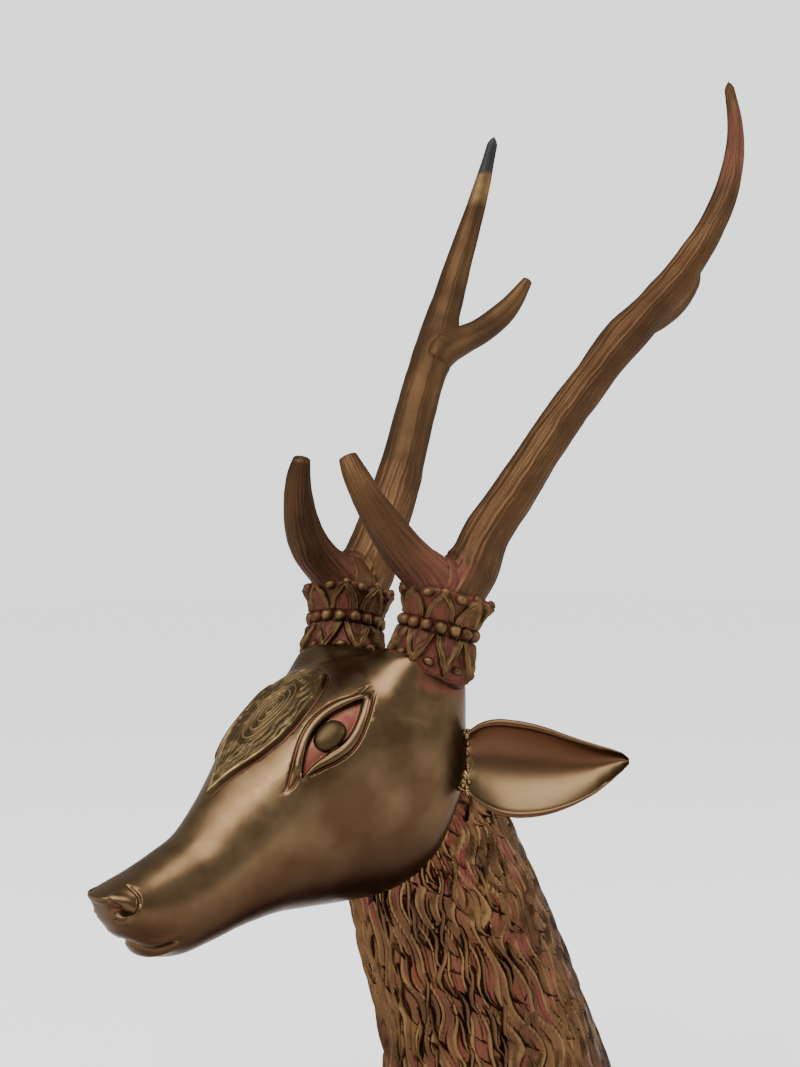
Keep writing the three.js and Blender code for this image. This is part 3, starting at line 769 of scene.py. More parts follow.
@dataclass
class Neck:
    """The neck: a leaning oval column under rows of wavy locks, cut flat below.

    Attributes:
        top: height of its hidden upper end.
        lock_length: length of one lock.
        lock_width: width of one lock.
        lock_height: how far a lock stands up.
        rows: rows of locks.
        around: locks in a row.
        sink: how far the strands between the locks lie below the bare neck.
        fine_strands: fine strands all the way round.
        broad_strands: broad strands all the way round.
        root_depth: how far under the bare neck a lock is rooted.
        bare_patch: middle of the worn red patch, which has no locks.
        patch_reach: a lock's root stays farther than this from that patch's middle.
        stations_y: middle of the neck, at even steps from its top to its flat underside.
        stations_deep: half its depth at each of these steps.
        stations_wide: half its width at each of these steps.
    """

    top: float = -30.0
    lock_length: float = 50.0
    lock_width: float = 8.4
    lock_height: float = 3.3
    rows: int = 12
    around: int = 34
    sink: float = 1.7
    fine_strands: int = 84
    broad_strands: int = 37
    root_depth: float = 0.9
    bare_patch: Triple = (45.0, 22.0, -112.0)
    patch_reach: float = 11.0
    stations_y: tuple = (-8, 3, 22, 41, 58, 76, 91.5, 96, 95)
    stations_deep: tuple = (28, 44, 57, 66, 71.5, 75.5, 81, 92, 107)
    stations_wide: tuple = (26, 38, 46, 51, 55, 58, 62, 68, 76)

    def bare(self, share: Array, turn: Array, rise: Array | float = 0.0) -> Array:
        """Points of the neck before it is carved.

        Args:
            share: 0 at the hidden top and 1 at the flat underside.
            turn: 0 at the throat and a quarter turn on the left side.
            rise: how far out from the bare surface.

        Returns:
            One point a row.
        """
        wide = through(self.stations_wide, share) + rise
        deep = through(self.stations_deep, share) + rise
        return np.stack(
            [
                wide * np.sin(turn),
                through(self.stations_y, share) - deep * np.cos(turn),
                self.top + share * (-CROWN_HEIGHT - self.top),
            ],
            1,
        )

    def ground(self, share: Array, round_share: Array) -> tuple[Array, ...]:
        """The skin between the locks: fine wavy strands.

        Args:
            share: 0 at the hidden top and 1 at the flat underside.
            round_share: 0 to 1 all the way round.

        Returns:
            Points, hollow, worn and zone.
        """
        turn = round_share * 2 * np.pi
        ring = np.stack([np.cos(turn) * 60, np.sin(turn) * 60, share * 340], 1)
        sway = 0.045 * np.sin(share * 46 + 2.0 * np.sin(turn * 3)) + 0.09 * value_noise(ring, 30.0, 11)
        fine = np.cos((turn + sway) * self.fine_strands)
        broad = np.cos((turn + 1.5 * sway) * self.broad_strands + 1)
        strand = 0.45 * fine + 0.55 * broad
        rise = -self.sink + 0.7 * fine + 0.9 * broad + 0.6 * value_noise(ring, 8.0, 12)
        point = self.bare(share, turn, rise)
        patch = smoothstep(17.0, 9.0, np.linalg.norm(point - np.array(self.bare_patch), axis=1))
        hollow = np.clip(0.36 - 0.55 * strand + 0.6 * value_noise(ring, 21.0, 14) + patch, 0, 1)
        worn = np.clip(1.4 * strand, 0, 1) * (1.0 - patch)
        return point, hollow, worn, np.zeros(len(point))

    def lock(self) -> Shell:
        """One lock, lying along +X from its root, its tip curled to +Y, standing up +Z.

        Returns:
            The lock as a closed ridge with a pointed tip.
        """
        steps, sides = 9, 9
        share = np.linspace(0.0, 1.0, steps)
        girth = np.maximum(np.sin(np.pi * (share * 0.9 + 0.07)) ** 0.7 * (1.0 - 0.35 * share), 0.05)
        swing = 3.8 * np.sin(share * 2 * np.pi * 1.05 + 0.2) + 7.0 * share**3
        lift = 0.35 + 0.65 * np.sin(np.pi * np.clip(share * 1.05, 0, 1))
        dip = smoothstep(0.8, 1.0, share) + smoothstep(0.12, 0.0, share)
        points, hollow, worn = [], [], []
        for i in range(steps):
            for aside in np.linspace(1.0, -1.0, sides):
                half = self.lock_width / 2 * girth[i]
                up = 0.5 + 0.5 * math.cos(math.pi * aside)
                height = self.lock_height * lift[i] * up * girth[i] - 2.0 * (1 - up) - 2.2 * dip[i]
                points.append((share[i] * self.lock_length, swing[i] + half * aside, height))
                hollow.append(0.3 * (1.0 - up))
                worn.append(0.45 * lift[i] * max(up * 3.0 - 2.0, 0.0))
        faces = []
        for i in range(steps - 1):
            base = i * sides
            for a in range(base, base + sides - 1):
                faces.extend([(a, a + 1, a + sides + 1), (a, a + sides + 1, a + sides)])
            far = base + sides - 1
            faces.extend([(base, far + sides, far), (base, base + sides, far + sides)])
        last = (steps - 1) * sides
        for j in range(1, sides - 1):
            faces.extend([(0, j + 1, j), (last, last + j, last + j + 1)])
        cold_tone_and_painted_reflection = np.zeros(len(points))
        return Shell(np.array(points), np.array(faces), np.array(hollow), np.array(worn), cold_tone_and_painted_reflection)

    def seats(self) -> tuple[Array, Array, Array]:
        """Where each lock is rooted, how it is turned, and its size.

        Returns:
            Places, turns as Euler angles, and sizes, one row a lock.
        """
        rng = np.random.default_rng(SEED)
        places, turns, sizes = [], [], []
        shortest = 0.12
        pitch = 1.0 / (self.rows - 1.2)
        for row in range(self.rows):
            for k in range(self.around):
                share = (row - 0.6 + 0.5 * (k % 2) + rng.uniform(-0.16, 0.16)) * pitch * 0.96
                turn = (k + 0.5 * (row % 2) + rng.uniform(-0.28, 0.28)) / self.around * 2 * math.pi
                if not 0.02 < share < 0.985:
                    continue
                s, t = np.array([share]), np.array([turn])
                here = self.bare(s, t, -self.root_depth)[0]
                if np.linalg.norm(here - np.array(self.bare_patch)) < self.patch_reach:
                    continue
                below = self.bare(s + 0.02, t, -self.root_depth)[0]
                beside = self.bare(s, t + 0.02, -self.root_depth)[0]
                down = Vector(below - here).normalized()
                out = Vector(np.cross(below - here, beside - here)).normalized()
                middle = Vector((0, float(through(self.stations_y, s)[0]), here[2]))
                if out.dot(Vector(here) - middle) < 0:
                    out = -out
                side = out.cross(down)
                wave = rng.uniform(-0.16, 0.2)
                down = (down * math.cos(wave) + side * math.sin(wave)).normalized()
                side = out.cross(down)
                basis = Matrix((down, side, out)).transposed()
                from_throat = np.array([abs(math.remainder(turn, 2 * math.pi))])
                narrow = 0.72 + 0.28 * smoothstep(0.2, 0.9, from_throat)[0]
                room = (CROWN_HEIGHT + here[2]) / (self.lock_length * 1.02)
                length = min(rng.uniform(0.78, 1.18), room)
                if length < shortest:
                    continue
                flip = 1.0 if rng.uniform() < 0.93 else -1.0
                places.append(here)
                turns.append(basis.to_euler())
                sizes.append((length, flip * narrow * rng.uniform(0.8, 1.25), rng.uniform(0.7, 1.15)))
        return np.array(places), np.array([tuple(turn) for turn in turns]), np.array(sizes)

    def build(self, finish: bpy.types.Material) -> Shell:
        """The neck's skin with its locks, and its flat underside.

        Args:
            finish: its material.

        Returns:
            The closed neck.
        """
        skin = grid_shell(lambda u, v: self.ground(u, -v), rows=104, columns=504, closed=True)
        skin = capped(skin, (0, self.stations_y[-1], -CROWN_HEIGHT), reach=140)
        skin = capped(skin, (0, self.stations_y[0], self.top), reach=40)
        places, turns, sizes = self.seats()
        locks = Copies.at_seats(self.lock(), places, turns, sizes, finish, "locks_of_the_neck")
        locks.points[:, 2] = np.maximum(locks.points[:, 2], -CROWN_HEIGHT)
        whole = Shell.joined([skin, locks])
        y, z = whole.points[:, 1], whole.points[:, 2]
        depths = np.linspace(-self.top, CROWN_HEIGHT, len(self.stations_y))
        behind = y - np.interp(-z, depths, self.stations_y)
        cold = smoothstep(18.0, 62.0, behind + 10 * value_noise(whole.points, 30.0, 71))
        whole.cold_tone_and_painted_reflection = 0.8 * cold * np.clip(0.6 + value_noise(whole.points, 6.0, 72), 0, 1)
        ochre = smoothstep(-190.0, -120.0, z + 24 * value_noise(whole.points, 40.0, 73))
        whole.worn = np.clip(whole.worn * (0.8 + 0.7 * ochre), 0, 1)
        return whole


def capped(shell: Shell, apex: Sequence[float], reach: float) -> Shell:
    """Closes the open rim that lies round a point with a fan to that point.

    Args:
        shell: a shell with an open rim.
        apex: the point in the middle of the rim.
        reach: the rim's points are nearer to the apex than this.

    Returns:
        The shell with that rim closed.
    """
    edges = np.concatenate([shell.faces[:, [0, 1]], shell.faces[:, [1, 2]], shell.faces[:, [2, 0]]])
    seen = set(map(tuple, edges.tolist()))
    rim = [edge for edge in seen if (edge[1], edge[0]) not in seen]
    close = np.linalg.norm(shell.points - np.asarray(apex, float), axis=1) < reach
    rim = [edge for edge in rim if close[edge[0]] and close[edge[1]]]
    points = np.concatenate([shell.points, np.asarray(apex, float)[None]])
    fan = np.array([(edge[1], edge[0], len(points) - 1) for edge in rim])
    return Shell(
        points,
        np.concatenate([shell.faces, fan]),
        np.append(shell.hollow, 0.3),
        np.append(shell.worn, 0.0),
        np.append(shell.cold_tone_and_painted_reflection, 0.0),
    )


def shell_of(obj: bpy.types.Object) -> Shell:
    """Makes a live object's result a plain shell, and takes the object away.

    Args:
        obj: an object in millimetres with its modifiers on.

    Returns:
        The evaluated mesh with its attributes.
    """
    graph = bpy.context.evaluated_depsgraph_get()
    mesh = bpy.data.meshes.new_from_object(obj.evaluated_get(graph))
    obj.modifiers.clear()
    count = len(mesh.vertices)
    points = np.empty(count * 3)
    mesh.vertices.foreach_get("co", points)
    mesh.calc_loop_triangles()
    faces = np.empty(len(mesh.loop_triangles) * 3, np.int64)
    mesh.loop_triangles.foreach_get("vertices", faces)
    values = []
    for label in ("hollow", "worn", "cold_tone_and_painted_reflection"):
        layer = np.zeros(count)
        mesh.attributes[label].data.foreach_get("value", layer)
        values.append(layer)
    bpy.data.objects.remove(obj)
    bpy.data.meshes.remove(mesh)
    return Shell(points.reshape(-1, 3), faces.reshape(-1, 3), *values)


def loose_object(shell: Shell, name: str) -> bpy.types.Object:
    """An object in millimetres that a node tree can place copies of, or work on.

    Args:
        shell: its surface, or its points alone.
        name: its name.

    Returns:
        The object, in the scene.
    """
    mesh = bpy.data.meshes.new(name)
    mesh.from_pydata(shell.points.tolist(), [], shell.faces.tolist())
    for label, values in (("hollow", shell.hollow), ("worn", shell.worn), ("cold_tone_and_painted_reflection", shell.cold_tone_and_painted_reflection)):
        add_layer(mesh, label, values)
    obj = bpy.data.objects.new(name, mesh)
    bpy.context.scene.collection.objects.link(obj)
    return obj


class Copies:
    """Node trees that set out copies of one piece."""

    @staticmethod
    def tree(name: str, inputs: Sequence[tuple[str, str]]) -> tuple[bpy.types.NodeTree, dict[str, str]]:
        """A new node tree with a geometry input, the named inputs, and a geometry output.

        Args:
            name: the tree's name.
            inputs: name and socket type of each further input.

        Returns:
            The tree, and each input's identifier.
        """
        tree = bpy.data.node_groups.new(name, "GeometryNodeTree")
        tree.interface.new_socket("Geometry", in_out="INPUT", socket_type="NodeSocketGeometry")
        tree.interface.new_socket("Geometry", in_out="OUTPUT", socket_type="NodeSocketGeometry")
        identifiers = {}
        for label, kind in inputs:
            socket = tree.interface.new_socket(label, in_out="INPUT", socket_type=kind)
            identifiers[label] = socket.identifier
        return tree, identifiers

    @staticmethod
    def ended(tree: bpy.types.NodeTree, copies: Socket, finish: Socket) -> None:
        """Ends a tree: the copies become plain geometry with their finish on.

        Args:
            tree: the node tree.
            copies: the socket that gives the copies.
            finish: the socket that gives their material.
        """
        real = tree.nodes.new("GeometryNodeRealizeInstances")
        paint = tree.nodes.new("GeometryNodeSetMaterial")
        out = tree.nodes.new("NodeGroupOutput")
        tree.links.new(copies, real.inputs["Geometry"])
        tree.links.new(real.outputs["Geometry"], paint.inputs["Geometry"])
        tree.links.new(finish, paint.inputs["Material"])
        tree.links.new(paint.outputs["Geometry"], out.inputs[0])

    @staticmethod
    def in_ring(piece: Shell, count: int, offset: float, finish: bpy.types.Material, name: str) -> Shell:
        """Copies of a piece all the way round the upright line through 0.

        Args:
            piece: the piece, already at its distance from that line.
            count: how many copies.
            offset: angle of the first one.
            finish: the copies' material.
            name: name of the tree.

        Returns:
            All the copies as one shell.
        """
        tree, ids = Copies.tree(
            name,
            (("Piece", "NodeSocketObject"), ("Count", "NodeSocketInt"), ("Offset", "NodeSocketFloat"),
             ("Finish", "NodeSocketMaterial")),
        )
        nodes, links = tree.nodes, tree.links
        given = nodes.new("NodeGroupInput")
        points = nodes.new("GeometryNodePoints")
        info = nodes.new("GeometryNodeObjectInfo")
        index = nodes.new("GeometryNodeInputIndex")
        share = nodes.new("ShaderNodeMath")
        share.operation = "DIVIDE"
        angle = nodes.new("ShaderNodeMath")
        angle.operation = "MULTIPLY_ADD"
        angle.inputs[1].default_value = 2 * math.pi
        turn = nodes.new("ShaderNodeCombineXYZ")
        copies = nodes.new("GeometryNodeInstanceOnPoints")
        links.new(given.outputs["Count"], points.inputs["Count"])
        links.new(given.outputs["Piece"], info.inputs["Object"])
        links.new(index.outputs[0], share.inputs[0])
        links.new(given.outputs["Count"], share.inputs[1])
        links.new(share.outputs[0], angle.inputs[0])
        links.new(given.outputs["Offset"], angle.inputs[2])
        links.new(angle.outputs[0], turn.inputs["Z"])
        links.new(points.outputs[0], copies.inputs["Points"])
        links.new(info.outputs["Geometry"], copies.inputs["Instance"])
        links.new(turn.outputs[0], copies.inputs["Rotation"])
        Copies.ended(tree, copies.outputs[0], given.outputs["Finish"])
        source = loose_object(piece, name + "_piece")
        host = loose_object(Shell.plain(np.zeros((1, 3)), np.zeros((0, 3), int)), name)
        modifier = host.modifiers.new(name, "NODES")
        modifier.node_group = tree
        modifier[ids["Piece"]] = source
        modifier[ids["Count"]] = count
        modifier[ids["Offset"]] = offset
        modifier[ids["Finish"]] = finish
        made = shell_of(host)
        bpy.data.objects.remove(source)
        return made

    @staticmethod
    def at_seats(
        piece: Shell,
        places: Array,
        turns: Array,
        sizes: Array,
        finish: bpy.types.Material,
        name: str,
    ) -> Shell:
        """Copies of a piece at given places, each with its own turn and size.

        Args:
            piece: the piece, rooted at 0.
            places: one row a copy.
            turns: Euler angles, one row a copy.
            sizes: sizes along the piece's three directions, one row a copy.
            finish: the copies' material.
            name: name of the tree.

        Returns:
            All the copies as one shell.
        """
        tree, ids = Copies.tree(
            name,
            (("Piece", "NodeSocketObject"), ("Thickness", "NodeSocketFloat"),
             ("Finish", "NodeSocketMaterial")),
        )
        nodes, links = tree.nodes, tree.links
        given = nodes.new("NodeGroupInput")
        info = nodes.new("GeometryNodeObjectInfo")
        copies = nodes.new("GeometryNodeInstanceOnPoints")
        thicker = nodes.new("ShaderNodeVectorMath")
        thicker.operation = "MULTIPLY"
        factor = nodes.new("ShaderNodeCombineXYZ")
        factor.inputs["X"].default_value = 1.0
        read = {}
        for label in ("seat_turn", "seat_size"):
            read[label] = nodes.new("GeometryNodeInputNamedAttribute")
            read[label].data_type = "FLOAT_VECTOR"
            read[label].inputs["Name"].default_value = label
        links.new(given.outputs["Piece"], info.inputs["Object"])
        links.new(given.outputs["Geometry"], copies.inputs["Points"])
        links.new(info.outputs["Geometry"], copies.inputs["Instance"])
        links.new(read["seat_turn"].outputs["Attribute"], copies.inputs["Rotation"])
        links.new(given.outputs["Thickness"], factor.inputs["Y"])
        links.new(given.outputs["Thickness"], factor.inputs["Z"])
        links.new(read["seat_size"].outputs["Attribute"], thicker.inputs[0])
        links.new(factor.outputs[0], thicker.inputs[1])
        links.new(thicker.outputs[0], copies.inputs["Scale"])
        Copies.ended(tree, copies.outputs[0], given.outputs["Finish"])
        source = loose_object(piece, name + "_piece")
        host = loose_object(Shell.plain(places, np.zeros((0, 3), int)), name)
        for label, values in (("seat_turn", turns), ("seat_size", sizes)):
            layer = host.data.attributes.new(label, "FLOAT_VECTOR", "POINT")
            layer.data.foreach_set("vector", values.astype(np.float32).ravel())
        modifier = host.modifiers.new(name, "NODES")
        modifier.node_group = tree
        modifier[ids["Piece"]] = source
        modifier[ids["Thickness"]] = 1.0
        modifier[ids["Finish"]] = finish
        made = shell_of(host)
        bpy.data.objects.remove(source)
        return made


def pebble(half: Sequence[float], middle: Sequence[float], rings: int = 6, sides: int = 10) -> Shell:
    """A small rounded lump.

    Args:
        half: half its size along each axis.
        middle: its middle.
        rings: steps from pole to pole.
        sides: steps round it.

    Returns:
        The closed lump, worn bright where it stands out to -Y.
    """
    points = [(0.0, 0.0, -1.0)]
    for i in range(1, rings):
        tilt = math.pi * i / rings
        for j in range(sides):
            turn = 2 * math.pi * j / sides
            wide = math.sin(tilt)
            points.append((wide * math.cos(turn), wide * math.sin(turn), -math.cos(tilt)))
    points.append((0.0, 0.0, 1.0))
    faces = []
    for j in range(sides):
        k = (j + 1) % sides
        faces.append((0, 1 + k, 1 + j))
        top = 1 + (rings - 2) * sides
        faces.append((len(points) - 1, top + j, top + k))
        for i in range(rings - 2):
            a = 1 + i * sides
            faces.append((a + j, a + k, a + sides + k))
            faces.append((a + j, a + sides + k, a + sides + j))
    ball = np.array(points)
    worn = np.clip(-ball[:, 1] * 0.8, 0, 1)
    hollow = np.clip(0.9 + ball[:, 1] * 1.6, 0, 1)
    placed = ball * np.array(half) + np.array(middle)
    return Shell(placed, np.array(faces), hollow, worn, np.zeros(len(ball)))


class Path:
    """A smooth path through points, with a pair of side directions that doesn't spin."""

    def __init__(
        self, points: Sequence[Sequence[float]], widths: Sequence[float], samples: int = 400
    ) -> None:
        """Samples the path.

        Args:
            points: the points that it passes through, in millimetres.
            widths: half width at each of them.
            samples: how many places to keep.
        """
        knots = np.array(points, float)
        self.share = np.linspace(0.0, 1.0, samples)
        self.middle = np.array([self.centripetal(knots, share) for share in self.share])
        ahead = np.gradient(self.middle, axis=0)
        self.ahead = ahead / np.linalg.norm(ahead, axis=1, keepdims=True)
        across = np.array([*BACK_LEFT, 0.0])
        rows = []
        for direction in self.ahead:
            across = across - across @ direction * direction
            across = across / np.linalg.norm(across)
            rows.append(across)
        self.across = np.array(rows)
        self.aside = np.cross(self.ahead, self.across)
        self.half = through(widths, self.share)
        steps = np.linalg.norm(np.diff(self.middle, axis=0), axis=1)
        self.length = np.concatenate([[0.0], np.cumsum(steps)])

    @staticmethod
    def centripetal(knots: Array, share: float) -> Array:
        """A point on the centripetal curve through the knots.

        Args:
            knots: the points that the curve passes through.
            share: 0 at the first knot and 1 at the last.

        Returns:
            The point.
        """
        last = len(knots) - 1
        i = min(int(share * last), last - 1)
        f = share * last - i
        before = knots[i - 1] if i > 0 else 2 * knots[0] - knots[1]
        after = knots[i + 2] if i + 2 <= last else 2 * knots[last] - knots[last - 1]
        four = (before, knots[i], knots[i + 1], after)
        gaps = [max(np.linalg.norm(four[k + 1] - four[k]) ** 0.5, 1e-4) for k in range(3)]
        steps = [(four[k + 1] - four[k]) / gaps[k] for k in range(3)]
        slope_in = (steps[0] - (four[2] - four[0]) / (gaps[0] + gaps[1]) + steps[1]) * gaps[1]
        slope_out = (steps[1] - (four[3] - four[1]) / (gaps[1] + gaps[2]) + steps[2]) * gaps[1]
        start, end = four[1], four[2]
        second = -3 * start + 3 * end - 2 * slope_in - slope_out
        third = 2 * start - 2 * end + slope_in + slope_out
        return start + slope_in * f + second * f * f + third * f**3

    def read(self, table: Array, share: Array) -> Array:
        """Reads one of the sampled tables at any share.

        Args:
            table: numbers or points, one a sample.
            share: 0 at the path's start and 1 at its end.

        Returns:
            The number or point at each share.
        """
        if table.ndim == 1:
            return np.interp(share, self.share, table)
        return np.stack([np.interp(share, self.share, table[:, k]) for k in range(table.shape[1])], 1)

    def distance(self, points: Array) -> Array:
        """How far points lie from the horn's surface.

        Args:
            points: one row a point.

        Returns:
            One distance a point, less than 0 inside.
        """
        best = np.full(len(points), 1e9)
        sample_step = 6
        for k in range(0, len(self.share), sample_step):
            away = np.linalg.norm(points - self.middle[k], axis=1) - self.half[k]
            best = np.minimum(best, away)
        return best


@dataclass
class Collar:
    """The carved band round the root of an antler.

    Attributes:
        radius: the band's radius at its waist.
        height: the band's height.
        petals: petals in each of its two rows.
        beads: beads round its waist.
        petal_rise: how far a petal's outline stands up.
        petal_half: half a petal's width at its foot.
        inner_half: half the width of the leaf inside it, at its foot.
        bead_half: a bead's radius.
        skirt: how much taller its lower half is behind than in front.
        lean: how far it leans, as angles round X and Y.
        middle: the left collar's middle.
    """

    radius: float = 22.5
    height: float = 44.0
    petals: int = 8
    beads: int = 16
    petal_rise: float = 2.7
    petal_half: float = 10.2
    inner_half: float = 4.6
    bead_half: float = 4.1
    skirt: float = 0.3
    lean: tuple[float, float] = (-0.22, 0.12)
    middle: Triple = (44.0, 0.0, 0.0)

    def place(self) -> Matrix:
        """The lean and the middle of the left collar."""
        lean = Matrix.Rotation(self.lean[0], 4, "X") @ Matrix.Rotation(self.lean[1], 4, "Y")
        return Matrix.Translation(self.middle) @ lean

    def stretch(self, x: Array, y: Array) -> Array:
        """How much taller the lower half is on the side that x and y point to."""
        behind = (BACK_LEFT[0] * x + BACK_LEFT[1] * y) / np.maximum(np.hypot(x, y), 1e-6)
        return 1.0 + self.skirt * (0.5 + 0.5 * behind)

    def petal(self, side: Array, share: Array, sharpness: float) -> tuple[Array, ...]:
        """Relief of one pointed petal with a doubled outline.

        Args:
            side: distance from the petal's middle line, in millimetres.
            share: 0 at its foot by the beads and 1 at its tip.
            sharpness: 1 gives straight sides and 2 a rounded arch.

        Returns:
            Height, hollow and worn.
        """
        inside_run = np.clip(share, 0.0, 1.0)
        edge = self.petal_half * (1.0 - inside_run**sharpness) - side
        inner = self.inner_half * (1.0 - np.clip(share * 1.25, 0, 1) ** sharpness) - side
        slope = 1.0 / np.sqrt(1.0 + (0.5 * sharpness * inside_run ** (sharpness - 1)) ** 2)
        across = (edge - 2.0) * slope
        outline = smoothstep(2.7, 0.9, np.abs(across)) - 0.3 * ridge(across, 0.9)
        second = ridge((inner + 0.2) * slope, 1.3) * smoothstep(0.9, 0.76, share)
        leaf = smoothstep(0.2, 2.0, inner) * 1.1
        body = smoothstep(-0.9, 0.9, edge)
        height = body * (0.3 + self.petal_rise * outline + 1.1 * second + leaf) - 0.9 * (1 - body)
        hollow = np.clip(0.8 - 0.85 * outline - 0.5 * second - 0.3 * leaf, 0, 1)
        worn = np.clip(0.75 * outline + 0.4 * second + 0.2 * leaf, 0, 1)
        return height, hollow, worn

    def band(self, up_share: Array, round_share: Array) -> tuple[Array, ...]:
        """The band's surface, carved with an upper and a lower row of petals.

        Args:
            up_share: 0 at its hidden lower end and 1 at its hidden upper end.
            round_share: 0 to 1 all the way round.

        Returns:
            Points, hollow, worn and zone.
        """
        half = self.height / 2
        rows = (
            -half - 4, -half - 2.4, -half + 1.5, -half + 6, -half + 12, -4.4, 0,
            4.4, half - 11, half - 5, half - 1.2, half + 0.6, half + 2,
        )
        reach = (-2.0, 1.6, 3.0, 2.6, 1.4, -0.4, -1.2, -0.4, 1.6, 3.6, 5.0, 3.4, -6.0)
        height = -half - 4 + up_share * (2 * half + 6)
        bare = self.radius + np.interp(height, rows, reach)
        place = round_share * self.petals
        upper = np.abs((place + 0.5) % 1.0 - 0.5) * 2 * np.pi * 26 / self.petals
        lower = np.abs(place % 1.0 - 0.5) * 2 * np.pi * 25 / self.petals
        up = self.petal(upper, (height - 3.0) / (half - 3.2), 2.2)
        down = self.petal(lower, (-height - 3.0) / (half - 1.2), 1.3)
        above = height > 0
        rise, hollow, worn = (np.where(above, a, b) for a, b in zip(up, down))
        waist = smoothstep(2.6, 4.6, np.abs(height))
        ends = smoothstep(half + 1.2, half - 0.8, np.where(above, height, 0.93 * np.abs(height)))
        rise = rise * waist * ends
        grain = value_noise(np.stack([round_share * 150, height], 1), 2.6, 21)
        rise = rise + 0.22 * grain
        hollow = np.clip(hollow * ends * waist + 0.75 * (1 - waist) + 0.4 * (1 - ends), 0, 1)
        turn = round_share * 2 * np.pi
        height = np.where(height < 0, height * self.stretch(np.sin(turn), -np.cos(turn)), height)
        points = np.stack([(bare + rise) * np.sin(turn), -(bare + rise) * np.cos(turn), height], 1)
        return points, hollow, worn * waist * ends, np.zeros(len(points))

    def lowered(self, shell: Shell) -> Shell:
        """Moves the buds of the lower row down with the band's edge behind.

        Args:
            shell: the buds.

        Returns:
            The same buds, moved.
        """
        stretch = self.stretch(shell.points[:, 0], shell.points[:, 1])
        shell.points[:, 2] += (3.4 - self.height / 2) * (stretch - 1.0)
        return shell

    def build(self, finish: bpy.types.Material, name: str) -> Shell:
        """The left collar in its place on the crown.

        Args:
            finish: its material.
            name: the antler's name, for its node trees.

        Returns:
            The band with its beads and buds.
        """
        band = grid_shell(lambda u, v: self.band(u, -v), rows=100, columns=360, closed=True)
        half = self.height / 2
        band = capped(band, (0, 0, -half - 4), reach=40)
        band = capped(band, (0, 0, half + 2), reach=40)
        bead_size = (self.bead_half, self.bead_half * 0.9, self.bead_half)
        bead = pebble(bead_size, (0, -self.radius - 0.2, 0), rings=8, sides=12)
        upper_bud = pebble((4.2, 3.4, 3.0), (0, -self.radius - 4.2, half - 3.0))
        lower_bud = pebble((4.0, 3.2, 3.0), (0, -self.radius - 2.8, -half + 3.4))
        rim_bud = pebble((3.0, 2.6, 2.4), (0, -self.radius - 4.8, half - 0.6))
        half_step = math.pi / self.petals
        parts = [
            band,
            Copies.in_ring(bead, self.beads, 0.09, finish, name + "_beads"),
            Copies.in_ring(upper_bud, self.petals, half_step, finish, name + "_upper_buds"),
            self.lowered(Copies.in_ring(lower_bud, self.petals, 0.0, finish, name + "_lower_buds")),
            Copies.in_ring(rim_bud, self.petals, 0.0, finish, name + "_rim_buds"),
        ]
        whole = Shell.joined(parts)
        for axis in range(3):
            whole.points[:, axis] += 0.6 * value_noise(whole.points, 3.6, 61 + axis)
        patina = value_noise(whole.points, 8.0, 65)
        whole.hollow = np.clip(whole.hollow + 0.6 * np.clip(patina + 0.1, 0, 1), 0, 1)
        whole.worn = np.clip(whole.worn * (0.75 + 0.6 * value_noise(whole.points, 5.0, 66)), 0, 1)
        return whole.placed(self.place())


class Side(Enum):
    """Which side of the deer."""

    LEFT = "left"
    RIGHT = "right"


